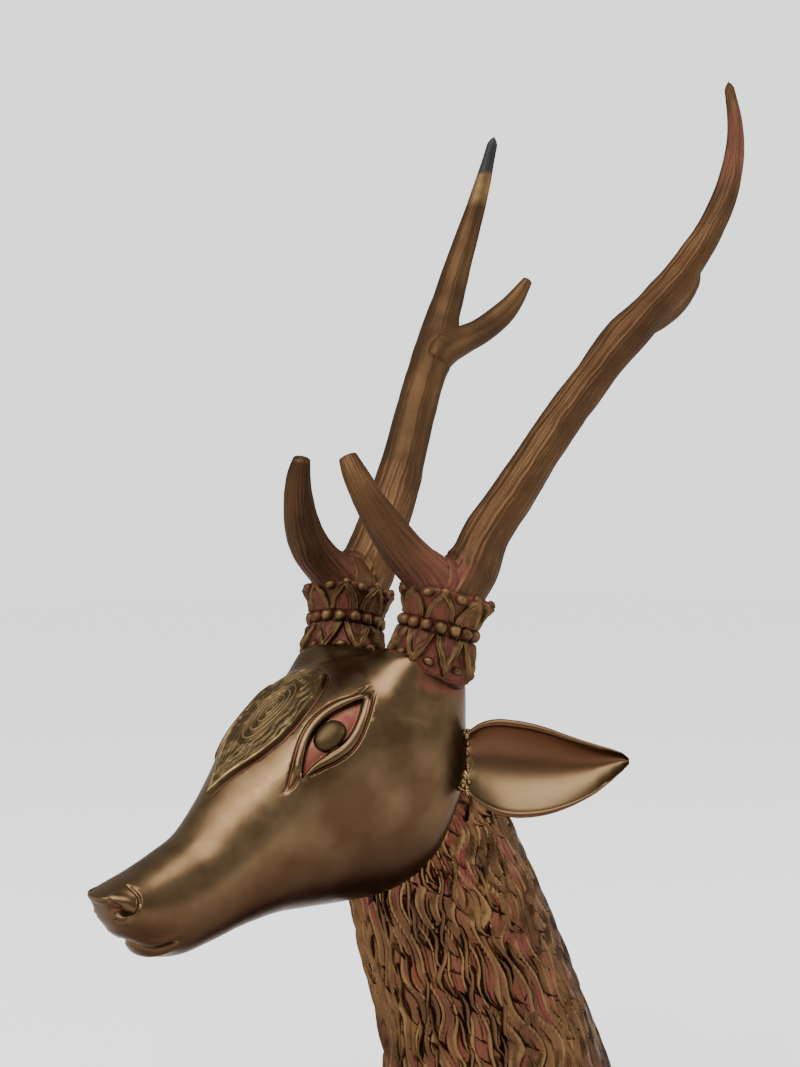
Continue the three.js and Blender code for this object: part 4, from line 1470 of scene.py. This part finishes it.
@dataclass
class Antler:
    """One antler: a main beam, a brow tine in front and a back tine high up.

    Attributes:
        side: which side of the deer.
        thickness: the main beam's thickness at its foot.
        oval: how much deeper than wide the main beam is.
        fork_blend: reach of the smooth bulge where two horns meet.
        flutes: broad flutes, fine flutes and hair lines all the way round.
        flute_room: how far the flutes' mean height lies inside the path's width.
        crotch: where the red stain by the brow tine is strongest.
        rubbed_spot: middle of the left beam's bright spot.
        collar: the carved band round its root.
        beam: points of the main beam's middle line, from the collar's middle.
        beam_widths: its width at each of them, as a share of the thickness.
        brow: points of the brow tine's middle line.
        brow_widths: its width at each of them, as a share of the thickness.
        trunk: points of the short root that beam and brow tine share.
        trunk_widths: its width at each of them, as a share of the thickness.
        back: points of the back tine's middle line.
        back_widths: its width at each of them, as a share of the thickness.
    """

    side: Side
    thickness: float = 31.0
    oval: float = 1.16
    fork_blend: float = 11.0
    flutes: tuple[int, int, int] = (9, 21, 34)
    flute_room: float = 1.15
    crotch: Triple = (46, -14, 34)
    rubbed_spot: Triple = (62, 66, 98)
    collar: Collar = field(default_factory=Collar)
    beam: tuple = (
        (2, -2, -14), (3, 4, 12), (5, 21, 32), (6, 34, 56), (13, 53, 84), (21, 71, 113), (31, 89, 141),
        (41, 108, 168), (53, 128, 195), (64, 149, 221), (73, 168, 250), (77, 185, 283), (74, 197, 320),
        (65, 201, 356),
    )
    beam_widths: tuple = (1, 1.05, 1.12, 1.02, 0.94, 0.88, 0.86, 0.82, 0.78, 0.73, 0.64, 0.55, 0.41, 0.26)
    brow: tuple = (
        (0, -2, -14), (0, -1, 6), (0.5, -9, 28), (-1, -31, 50), (-9, -46, 74), (-16.5, -52.5, 92),
        (-22.5, -54.5, 104.5),
    )
    brow_widths: tuple = (0.9, 0.9, 0.95, 0.88, 0.7, 0.57, 0.42)
    trunk: tuple = ((1, 2, -14), (1, 2, 8), (2, 4, 28), (2.5, 5, 43))
    trunk_widths: tuple = (1.1, 1.25, 1.12, 0.4)
    back: tuple = (
        (39, 104, 167), (42, 122, 184), (43, 146, 196), (42, 168, 207), (39, 190, 224), (35, 207, 246),
    )
    back_widths: tuple = (0.3, 0.72, 0.7, 0.68, 0.58, 0.3)

    def path(self, points: Sequence[Sequence[float]], widths: Sequence[float]) -> Path:
        """The path of one horn, set out from the crown point."""
        moved = [(x + self.collar.middle[0], y, z) for x, y, z in points]
        return Path(moved, [width * self.thickness / 2 for width in widths])

    def horn(
        self, path: Path, others: Sequence[Path], oval: float, seed: int, rows: int, columns: int
    ) -> Shell:
        """One fluted horn, swollen where it grows out of the others.

        Args:
            path: its path.
            others: the paths of the horns that it meets.
            oval: how much deeper than wide it is.
            seed: which grain.
            rows: steps along it.
            columns: steps round it.

        Returns:
            The closed horn.
        """

        def surface(u: Array, v: Array) -> tuple[Array, ...]:
            """The horn's surface with its flutes.

            Args:
                u: 0 at its root and 1 at its tip.
                v: 0 to 1 all the way round.

            Returns:
                Points, hollow, worn and zone.
            """
            middle = path.read(path.middle, u)
            across, aside = path.read(path.across, u), path.read(path.aside, u)
            half = path.read(path.half, u) * np.sqrt(np.clip((1.0005 - u) / 0.012, 0.0, 1.0))
            length = path.read(path.length, u)
            turn = v * 2 * np.pi
            out = across * np.cos(turn)[:, None] + aside * np.sin(turn)[:, None]
            flat = across * np.cos(turn)[:, None] + aside * (oval * np.sin(turn))[:, None]
            ring = np.stack([np.cos(turn) * 12, np.sin(turn) * 12, length * 0.30], 1)
            sway = 0.10 * value_noise(ring, 9.0, seed) + 0.045 * value_noise(ring, 3.0, seed + 1)
            size = np.clip(half / 12.0, 0.12, 1.0)
            bark = self.bark(middle[:, 2])
            wide = np.cos((turn + sway) * self.flutes[0])
            fine = np.cos((turn + 1.3 * sway) * self.flutes[1] + 1.0)
            hair = np.cos((turn + 1.1 * sway) * self.flutes[2] + 2.0)
            lumps = value_noise(np.stack([ring[:, 0], ring[:, 1], length], 1), 12.0, seed + 2)
            rise = size * bark * (0.1 * wide + 0.25 * fine + 0.2 * hair) + 0.3 * size * lumps
            points = middle + flat * (half + rise - self.flute_room)[:, None]
            for other in others:
                away = other.distance(points)
                near = np.clip(1.0 - np.abs(away) / self.fork_blend, 0.0, 1.0)
                points = points + out * (near * near * self.fork_blend * 0.24)[:, None]
            grooves = np.clip(-0.6 * fine - 0.55 * hair, 0, 1)
            hollow = 0.85 * bark * grooves * smoothstep(0.2, 0.6, size)
            worn = 0.5 * bark * np.clip(0.4 * fine + 0.5 * hair + 0.9 * lumps, 0, 1)
            return points, hollow, worn, np.zeros(len(points))

        shell = grid_shell(surface, rows, columns, closed=True)
        shell = capped(shell, path.middle[0], reach=24)
        tip = path.middle[-1] + path.ahead[-1] * 0.8
        return capped(shell, tip, reach=8)

    def bark(self, height: Array) -> Array:
        """How deep the flutes are; the right antler is smooth above its sleeve of bark."""
        if self.side is Side.LEFT:
            return np.ones(len(height))
        return 0.28 + 0.72 * smoothstep(104.0, 96.0, height)

    def stained(self, shell: Shell) -> Shell:
        """Adds the stains that differ from one antler to the other.

        Args:
            shell: the antler as the left one.

        Returns:
            The same shell with its red, bright and dark places.
        """
        points = shell.points
        crotch = np.linalg.norm(points - np.array(self.crotch), axis=1)
        red = smoothstep(34, 8, crotch + 6 * value_noise(points, 9.0, 41))
        if self.side is Side.LEFT:
            high = smoothstep(276, 300, points[:, 2]) * smoothstep(345, 325, points[:, 2])
            red = np.maximum(red, 0.55 * high)
            rub = np.linalg.norm(points - np.array(self.rubbed_spot), axis=1)
            shell.worn = np.clip(shell.worn + 0.9 * smoothstep(13, 5, rub), 0, 1)
        else:
            red = 0.55 * red
            tip = points[:, 2] + 3 * value_noise(points, 5.0, 43)
            shell.cold_tone_and_painted_reflection = smoothstep(325, 331, tip)
            copper = smoothstep(298, 316, tip) * (1 - shell.cold_tone_and_painted_reflection)
            shell.worn = np.clip(shell.worn + copper, 0, 1)
            shell.hollow = shell.hollow * (1 - copper)
        shell.hollow = np.clip(shell.hollow + red, 0, 1)
        return shell

    def build(self, finish: bpy.types.Material) -> Shell:
        """The antler with its collar.

        Args:
            finish: its material.

        Returns:
            The antler on its own side.
        """
        beam = self.path(self.beam, self.beam_widths)
        brow = self.path(self.brow, self.brow_widths)
        back = self.path(self.back, self.back_widths)
        trunk = self.path(self.trunk, self.trunk_widths)
        seed = 50 if self.side is Side.LEFT else 70
        horns = [
            self.horn(beam, (brow, back, trunk), self.oval, seed, rows=240, columns=120),
            self.horn(brow, (beam, trunk), 1.0, seed + 5, rows=90, columns=100),
            self.horn(trunk, (beam, brow), 1.0, seed + 15, rows=40, columns=100),
            self.horn(back, (beam,), 1.0, seed + 10, rows=80, columns=80),
        ]
        whole = self.stained(Shell.joined(horns))
        collar = self.collar.build(finish, self.side.value + "_collar")
        whole = Shell.joined([whole, collar])
        return whole if self.side is Side.LEFT else whole.mirrored()


@dataclass
class Ear:
    """One ear: a leaf-shaped bowl with a rounded rim.

    Attributes:
        side: which side of the deer.
        wall: thickness of the bowl.
        depth: depth of the bowl at its widest.
        droop: how far forward the lower edge comes, by its height.
        braze_from: first of the sections that carry lumps of brazing metal.
        braze_to: the section after the last of them.
        braze_step: points from one lump to the next.
        root: where the left ear starts, seen from above.
        along: direction from the root to the tip.
        out: direction that the bowl opens to.
        stations: distance along the ear, and how high its upper and lower edge are there.
    """

    side: Side
    wall: float = 4.5
    depth: float = 14.0
    droop: float = 0.25
    braze_from: int = 8
    braze_to: int = 13
    braze_step: int = 7
    root: Triple = (50, 2, 0)
    along: Triple = (0.7, 0.714, 0)
    out: Triple = (0.714, -0.7, 0)
    stations: tuple = (
        (0, -72, -95), (10, -65, -99.5), (20, -58.5, -107.5), (30, -56.3, -112.8), (40, -57, -114.8),
        (50, -58.6, -114.6), (60, -61.2, -113), (70, -64.7, -109.9), (80, -68, -105.5), (90, -71, -99.9),
        (99, -73.4, -93), (106, -75.8, -86.8), (110, -79, -82.6),
    )

    def section(self) -> Array:
        """One closed section of the bowl: how far across, how deep, and how much of the wall.

        Returns:
            Rows of across, share of the bowl's depth, share of the wall, and where it is.
        """
        rows = []
        for across in np.linspace(-0.86, 0.86, 30):
            rows.append((across, 1.05 * (1 - across**2) - 0.13, 0.0, 0.0))
        for angle in np.linspace(0.12, 0.88, 7) * math.pi:
            rows.append((0.93 - 0.07 * math.cos(angle), 0.13 - 0.1 * math.sin(angle), 0.1, 1.0))
        for across in np.linspace(1.0, -1.0, 34):
            arch = 1 - abs(across) ** 2.2
            rows.append((across, 0.06 + 0.94 * arch, 0.4 + 0.6 * arch, 0.5))
        for angle in np.linspace(0.12, 0.88, 7) * math.pi:
            rows.append((-0.93 - 0.07 * math.cos(angle), 0.13 - 0.1 * math.sin(angle), 0.1, 1.0))
        return np.array(rows)

    def braze(self, section: Array) -> list[Shell]:
        """Lumps of bright brazing metal round the root.

        Args:
            section: points of the sections near the root.

        Returns:
            One lump a shell.
        """
        rng = np.random.default_rng(SEED)
        lumps = []
        for place in section[:: self.braze_step]:
            middle = place + rng.uniform(-1.1, 1.1, 3)
            half = rng.uniform(1.1, 2.1, 3) * np.array([1.0, 1.0, 1.4])
            lump = pebble(half, middle, rings=6, sides=9)
            lump.hollow = np.zeros(len(lump.points))
            lump.worn = np.full(len(lump.points), 0.6)
            lumps.append(lump)
        return lumps

    def build(self) -> Shell:
        """The ear with the brazing metal round its root.

        Returns:
            The ear on its own side.
        """
        places = np.array([row[0] for row in self.stations], float)
        fine = np.linspace(0, places[-1], 110)
        shares = np.interp(fine, places, np.linspace(0, 1, len(places)))
        top = through([row[1] for row in self.stations], shares)
        bottom = through([row[2] for row in self.stations], shares)
        half = (top - bottom) / 2
        section = self.section()
        count = len(section)
        up = np.array([0.0, 0.0, 1.0])
        along, out = np.array(self.along), np.array(self.out)
        along, out = along / np.linalg.norm(along), out / np.linalg.norm(out)
        root = np.array(self.root, float)
        points, hollow, worn, cold_tone_and_painted_reflection = [], [], [], []
        for i, place in enumerate(fine):
            bowl = self.depth * math.sqrt(half[i] / 30)
            for across, deep, wall, kind in section:
                depth = bowl * deep + self.wall * wall + self.droop * half[i] * across
                middle = root + along * place + up * ((top[i] + bottom[i]) / 2 + half[i] * across)
                middle = middle - out * depth
                rough = 1.3 * max(0.0, 1 - place / 17.0) * value_noise(middle[None], 3.4, 81)[0]
                points.append(middle + out * rough)
                hollow.append(max(0.0, 1 - place / 9.0) * 0.35)
                from_root = place + 3 * value_noise(middle[None], 3.0, 82)[0]
                worn.append(0.95 * float(smoothstep(16.0, 10.0, from_root)))
                # Painted reflection of the sky: the lower half of the bowl's inside takes the lighter cold
                # colour, the rim and the back a little of it.
                cold_tone_and_painted_reflection.append(float(smoothstep(0.25, -0.45, np.array(across))) if kind < 0.5 else 0.3)
        i, j = np.meshgrid(np.arange(len(fine) - 1), np.arange(count), indexing="ij")
        a = (i * count + j).ravel()
        b = (i * count + (j + 1) % count).ravel()
        faces = np.concatenate([np.stack([a, b, b + count], 1), np.stack([a, b + count, a + count], 1)])
        shell = Shell(np.array(points), faces, np.array(hollow), np.array(worn), np.array(cold_tone_and_painted_reflection))
        first = shell.points[:count].mean(0)
        last = shell.points[-count:].mean(0)
        shell = capped(shell, first, reach=30)
        shell = capped(shell, last + along * 0.4, reach=8)
        if volume(shell) < 0:
            shell.faces = shell.faces[:, ::-1]
        by_root = shell.points[self.braze_from * count : self.braze_to * count]
        shell = Shell.joined([shell, *self.braze(by_root)])
        return shell if self.side is Side.LEFT else shell.mirrored()


def volume(shell: Shell) -> float:
    """Volume of a closed shell, less than 0 if it is inside out."""
    a, b, c = (shell.points[shell.faces[:, k]] for k in range(3))
    return float(np.einsum("ij,ij->i", a, np.cross(b, c)).sum() / 6)


@dataclass(frozen=True)
class Bronze:
    """A patinated bronze finish.

    Attributes:
        name: the finish's name.
        slot: a slot's name, which is not used.
        skin: colour of the open skin.
        dark: colour of its darker clouds.
        bole: colour of the red undercoat left in hollows.
        bright: colour of rubbed ridges.
        cold: colour of the parts marked as a zone; on the ears it is a painted reflection of the sky.
        under: colour of the painted shade on the sides that face down.
        bole_share: how fully the undercoat covers hollows.
        bright_share: how fully ridges are rubbed.
        painted_shade_share: how strongly the painted shade darkens the sides that face down.
        smooth: roughness of the skin.
        rough: roughness of the hollows.
        cloud_size: size of the clouds, as noise scale.
        grain: strength of the fine bump.
        grain_size: scale of the fine bump.
        zone_dull: how much rougher the parts marked as a zone are.
        edge_tint: tint of what it reflects at a grazing angle, where clean metal turns white.
        red_metal: how metallic the red undercoat is.
        grain_depth: depth of the fine bump, in metres.
    """

    name: str
    slot: str
    skin: Colour
    dark: Colour
    bole: Colour
    bright: Colour
    cold: Colour
    under: Colour
    bole_share: float
    bright_share: float
    painted_shade_share: float
    smooth: float
    rough: float
    cloud_size: float
    grain: float
    grain_size: float
    zone_dull: float = 0.0
    edge_tint: Colour = (0.74, 0.7, 0.66)
    red_metal: float = 0.3
    grain_depth: float = 0.0006

    def build(self) -> bpy.types.Material:
        """Makes the material.

        Returns:
            A metal whose colour follows the mesh's hollow, worn and zone attributes.
        """
        material = bpy.data.materials.new(self.name)
        material.use_nodes = True
        nodes, links = material.node_tree.nodes, material.node_tree.links
        shader = nodes["Principled BSDF"]
        shader.inputs["Specular IOR Level"].default_value = 0.3
        shader.inputs["Specular Tint"].default_value = (*self.edge_tint, 1)
        place = nodes.new("ShaderNodeTexCoord").outputs["Object"]

        def noise(scale: float, detail: float) -> Socket:
            """A noise on the object's own coordinates.

            Args:
                scale: its scale.
                detail: its detail.

            Returns:
                The socket that gives it.
            """
            node = nodes.new("ShaderNodeTexNoise")
            node.inputs["Scale"].default_value = scale
            node.inputs["Detail"].default_value = detail
            links.new(place, node.inputs["Vector"])
            return node.outputs["Fac"]

        def marked(label: str) -> Socket:
            """One of the mesh's own attributes.

            Args:
                label: the attribute's name.

            Returns:
                The socket that gives it.
            """
            node = nodes.new("ShaderNodeAttribute")
            node.attribute_name = label
            return node.outputs["Fac"]

        def ranged(value: Socket, low: float, high: float, top: float) -> Socket:
            """Maps low to 0 and high to top, and clamps.

            Args:
                value: the socket to map.
                low: what becomes 0.
                high: what becomes top.
                top: the highest result.

            Returns:
                The socket that gives the result.
            """
            node = nodes.new("ShaderNodeMapRange")
            node.inputs["From Min"].default_value = low
            node.inputs["From Max"].default_value = high
            node.inputs["To Max"].default_value = top
            links.new(value, node.inputs["Value"])
            return node.outputs["Result"]

        def math_node(kind: str, first: Socket, second: Socket | float) -> Socket:
            """A clamped sum or product.

            Args:
                kind: the operation.
                first: its first input.
                second: its second input.

            Returns:
                The socket that gives the result.
            """
            node = nodes.new("ShaderNodeMath")
            node.operation = kind
            node.use_clamp = True
            links.new(first, node.inputs[0])
            if isinstance(second, float):
                node.inputs[1].default_value = second
            else:
                links.new(second, node.inputs[1])
            return node.outputs[0]

        def blend(share: Socket, first: Socket | Colour, second: Socket | Colour) -> Socket:
            """Mixes two colours, each given or from a socket.

            Args:
                share: 0 for the first colour alone and 1 for the second.
                first: the first colour.
                second: the second colour.

            Returns:
                The socket that gives the mixed colour.
            """
            node = nodes.new("ShaderNodeMix")
            node.data_type = "RGBA"
            links.new(share, node.inputs["Factor"])
            for socket, value in ((node.inputs[6], first), (node.inputs[7], second)):
                if isinstance(value, tuple):
                    socket.default_value = (*value, 1.0)
                else:
                    links.new(value, socket)
            return node.outputs[2]

        clouds = ranged(noise(self.cloud_size, 3.0), 0.38, 0.66, 1.0)
        flecks = ranged(noise(self.cloud_size * 7, 4.0), 0.35, 0.65, 1.0)
        hollow, worn, cold_tone_and_painted_reflection = marked("hollow"), marked("worn"), marked("cold_tone_and_painted_reflection")
        broken = math_node("MULTIPLY_ADD", flecks, 0.55)
        broken.node.inputs[2].default_value = 0.45
        red = math_node("MULTIPLY", ranged(hollow, 0.25, 0.85, self.bole_share), broken)
        gold = math_node("MULTIPLY", ranged(worn, 0.2, 0.9, self.bright_share), broken)
        colour = blend(clouds, self.dark, self.skin)
        colour = blend(cold_tone_and_painted_reflection, colour, self.cold)
        colour = blend(red, colour, self.bole)
        colour = blend(gold, colour, self.bright)
        # Painted shade: the sides that face down are darkened towards the under colour.
        colour = blend(ranged(marked("painted_underside_shade"), 0.0, 1.0, self.painted_shade_share), colour, self.under)
        links.new(colour, shader.inputs["Base Color"])
        metal = nodes.new("ShaderNodeMapRange")
        metal.inputs["To Min"].default_value = 1.0
        metal.inputs["To Max"].default_value = self.red_metal
        links.new(red, metal.inputs["Value"])
        links.new(metal.outputs["Result"], shader.inputs["Metallic"])
        finish = nodes.new("ShaderNodeMapRange")
        finish.inputs["From Max"].default_value = 1.4
        finish.inputs["To Min"].default_value = self.smooth
        finish.inputs["To Max"].default_value = self.rough
        uneven = math_node("MULTIPLY", flecks, 0.25)
        dull = math_node("MULTIPLY_ADD", cold_tone_and_painted_reflection, self.zone_dull)
        links.new(math_node("ADD", red, uneven), dull.node.inputs[2])
        links.new(dull, finish.inputs["Value"])
        links.new(finish.outputs["Result"], shader.inputs["Roughness"])
        bump = nodes.new("ShaderNodeBump")
        bump.inputs["Strength"].default_value = self.grain
        bump.inputs["Distance"].default_value = self.grain_depth
        links.new(noise(self.grain_size, 5.0), bump.inputs["Height"])
        links.new(bump.outputs["Normal"], shader.inputs["Normal"])
        return material


# Each finish's under colour and dusk share paint shade onto the sides that face down.
POLISHED = Bronze(
    "polished bronze", "polished_bronze",
    skin=(0.135, 0.087, 0.044), dark=(0.076, 0.045, 0.022), bole=(0.13, 0.02, 0.016),
    bright=(0.36, 0.24, 0.1), cold=(0.057, 0.038, 0.018), under=(0.025, 0.009, 0.005),
    bole_share=0.85, bright_share=0.75, painted_shade_share=0.94, smooth=0.3, rough=0.6, cloud_size=26.0,
    grain=0.05, grain_size=220.0, zone_dull=0.8,
)
HAIR = Bronze(
    "patinated bronze", "patinated_bronze",
    skin=(0.125, 0.065, 0.028), dark=(0.06, 0.03, 0.016), bole=(0.17, 0.034, 0.024),
    bright=(0.3, 0.185, 0.075), cold=(0.055, 0.05, 0.05), under=(0.03, 0.016, 0.01),
    bole_share=0.85, bright_share=0.5, painted_shade_share=0.4, smooth=0.24, rough=0.6, cloud_size=26.0,
    grain=0.3, grain_size=420.0,
)
HORN = Bronze(
    "antler bronze", "patinated_bronze",
    skin=(0.084, 0.045, 0.02), dark=(0.05, 0.027, 0.014), bole=(0.11, 0.022, 0.016),
    bright=(0.25, 0.155, 0.065), cold=(0.035, 0.035, 0.038), under=(0.024, 0.014, 0.009),
    bole_share=0.85, bright_share=0.6, painted_shade_share=0.5, smooth=0.54, rough=0.6, cloud_size=22.0,
    grain=0.3, grain_size=380.0,
)
# Its cold colour is a painted reflection of the sky on the lower half of each ear's bowl.
RUBBED = Bronze(
    "rubbed bronze", "rubbed_bronze",
    skin=(0.1, 0.052, 0.027), dark=(0.07, 0.034, 0.018), bole=(0.2, 0.06, 0.03),
    bright=(0.4, 0.27, 0.115), cold=(0.108, 0.07, 0.035), under=(0.05, 0.018, 0.008),
    bole_share=0.5, bright_share=0.7, painted_shade_share=0.9, smooth=0.34, rough=0.5, cloud_size=14.0,
    grain=0.04, grain_size=200.0,
)


def put_in_place(
    shell: Shell,
    name: str,
    material: bpy.types.Material,
    nodes: Sequence[str],
    crease_deg: float,
) -> None:
    """Makes a shell a finished piece that stands for CAD nodes.

    Args:
        shell: the piece's surface.
        name: the piece's name.
        material: the finish's material.
        nodes: the CAD nodes that it stands for.
        crease_deg: an edge turned by more than this is shaded sharp.
    """
    obj = bpy.data.objects.new(name, shell.to_mesh(name, crease_deg))
    obj.data.materials.append(material)
    bpy.context.scene.collection.objects.link(obj)
    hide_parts(*nodes)
    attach(obj, "root")
    log.info("%s: %d triangles", name, len(shell.faces))


@dataclass
class Studio:
    """Plain pale floor, soft light, and the camera at the photograph's angle.

    Attributes:
        floor_half: half the floor's side.
        floor_colour: its colour.
        floor_rough: its roughness.
        sky: colour of the daylight.
        seen_strength: strength of the daylight as the camera sees it behind the floor.
        sky_strength: strength of the daylight that falls on the bust.
        sun_strength: strength of the veiled sun.
        sun_width_deg: how wide the veiled sun is.
        sun_way: direction in which its light falls.
        aim: what the softboxes point at, in the deer's face.
        camera_place: where the camera stands.
        camera_turn_deg: how it is turned.
        lens: its focal length.
    """

    floor_half: float = 9.0
    floor_colour: Colour = (0.95, 0.95, 0.95)
    floor_rough: float = 0.9
    sky: Colour = (0.86, 0.865, 0.875)
    seen_strength: float = 1.95
    sky_strength: float = 0.8
    sun_strength: float = 3.7
    sun_width_deg: float = 50.0
    sun_way: Triple = (-0.25, 0.35, -1.0)
    aim: Triple = (0.0, -0.12, 0.34)
    camera_place: Triple = (0.8371, -0.8411, 0.4296)
    camera_turn_deg: Triple = (90.0, 0.0, 48.0)
    lens: float = 60.06

    def softbox(self, name: str, place: Sequence[float], size: float, power: float) -> None:
        """A square soft light that points at the face.

        Args:
            name: its name.
            place: where it hangs.
            size: length of its sides.
            power: its power in watts.
        """
        light = bpy.data.lights.new(name, "AREA")
        light.size = size
        light.energy = power
        obj = bpy.data.objects.new(name, light)
        obj.location = place
        obj.visible_camera = False
        obj.rotation_euler = (Vector(self.aim) - Vector(place)).to_track_quat("-Z", "Y").to_euler()
        bpy.context.scene.collection.objects.link(obj)

    def build(self) -> None:
        """Sets out the floor, the lights and the camera."""
        half = self.floor_half
        corners = [(-half, -half, 0), (half, -half, 0), (half, half, 0), (-half, half, 0)]
        mesh = bpy.data.meshes.new("floor")
        mesh.from_pydata(corners, [], [(0, 1, 2, 3)])
        floor = bpy.data.objects.new("floor", mesh)
        paint = bpy.data.materials.new("pale floor")
        paint.use_nodes = True
        shader = paint.node_tree.nodes["Principled BSDF"]
        shader.inputs["Base Color"].default_value = (*self.floor_colour, 1)
        shader.inputs["Roughness"].default_value = self.floor_rough
        mesh.materials.append(paint)
        bpy.context.scene.collection.objects.link(floor)
        world = bpy.data.worlds.new("soft daylight")
        world.use_nodes = True
        sky = world.node_tree.nodes["Background"]
        sky.inputs["Color"].default_value = (*self.sky, 1)
        light = world.node_tree.nodes.new("ShaderNodeLightPath")
        strength = world.node_tree.nodes.new("ShaderNodeMapRange")
        strength.inputs["To Min"].default_value = self.sky_strength
        strength.inputs["To Max"].default_value = self.seen_strength
        world.node_tree.links.new(light.outputs["Is Camera Ray"], strength.inputs["Value"])
        world.node_tree.links.new(strength.outputs["Result"], sky.inputs["Strength"])
        bpy.context.scene.world = world
        self.softbox("high_left", (-0.5, -1.9, 1.7), size=1.3, power=24)
        self.softbox("window", (0.4, -1.6, 1.5), size=0.24, power=11)
        self.softbox("behind_right", (1.3, 1.4, 1.3), size=0.8, power=18)
        sun = bpy.data.objects.new("veiled_sun", bpy.data.lights.new("veiled_sun", "SUN"))
        sun.data.energy = self.sun_strength
        sun.data.angle = math.radians(self.sun_width_deg)
        sun.rotation_euler = Vector(self.sun_way).to_track_quat("-Z", "Y").to_euler()
        bpy.context.scene.collection.objects.link(sun)
        camera = bpy.data.objects.new("camera", bpy.data.cameras.new("camera"))
        camera.location = self.camera_place
        camera.rotation_euler = [math.radians(angle) for angle in self.camera_turn_deg]
        camera.data.lens = self.lens
        bpy.context.scene.collection.objects.link(camera)
        bpy.context.scene.camera = camera


def main() -> None:
    """Builds every piece in order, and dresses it."""
    logging.basicConfig(level=logging.INFO, format="%(name)s: %(message)s")
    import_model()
    polished, hair, horn, rubbed = (finish.build() for finish in (POLISHED, HAIR, HORN, RUBBED))
    head = Head().build()
    put_in_place(head, "head", polished, ["head_and_neck"], CAST_CREASE_DEG)
    neck = Neck().build(hair)
    put_in_place(neck, "neck", hair, ["head_and_neck"], CAST_CREASE_DEG)
    for side in Side:
        own = side.value
        antler = Antler(side).build(horn)
        put_in_place(antler, f"{own}_antler_carved", horn, [f"{own}_antler"], HORN_CREASE_DEG)
        bowl = Ear(side).build()
        put_in_place(bowl, f"{own}_ear_bowl", rubbed, [f"{own}_ear"], EAR_CREASE_DEG)
    Studio().build()


if __name__ == "__main__":
    main()
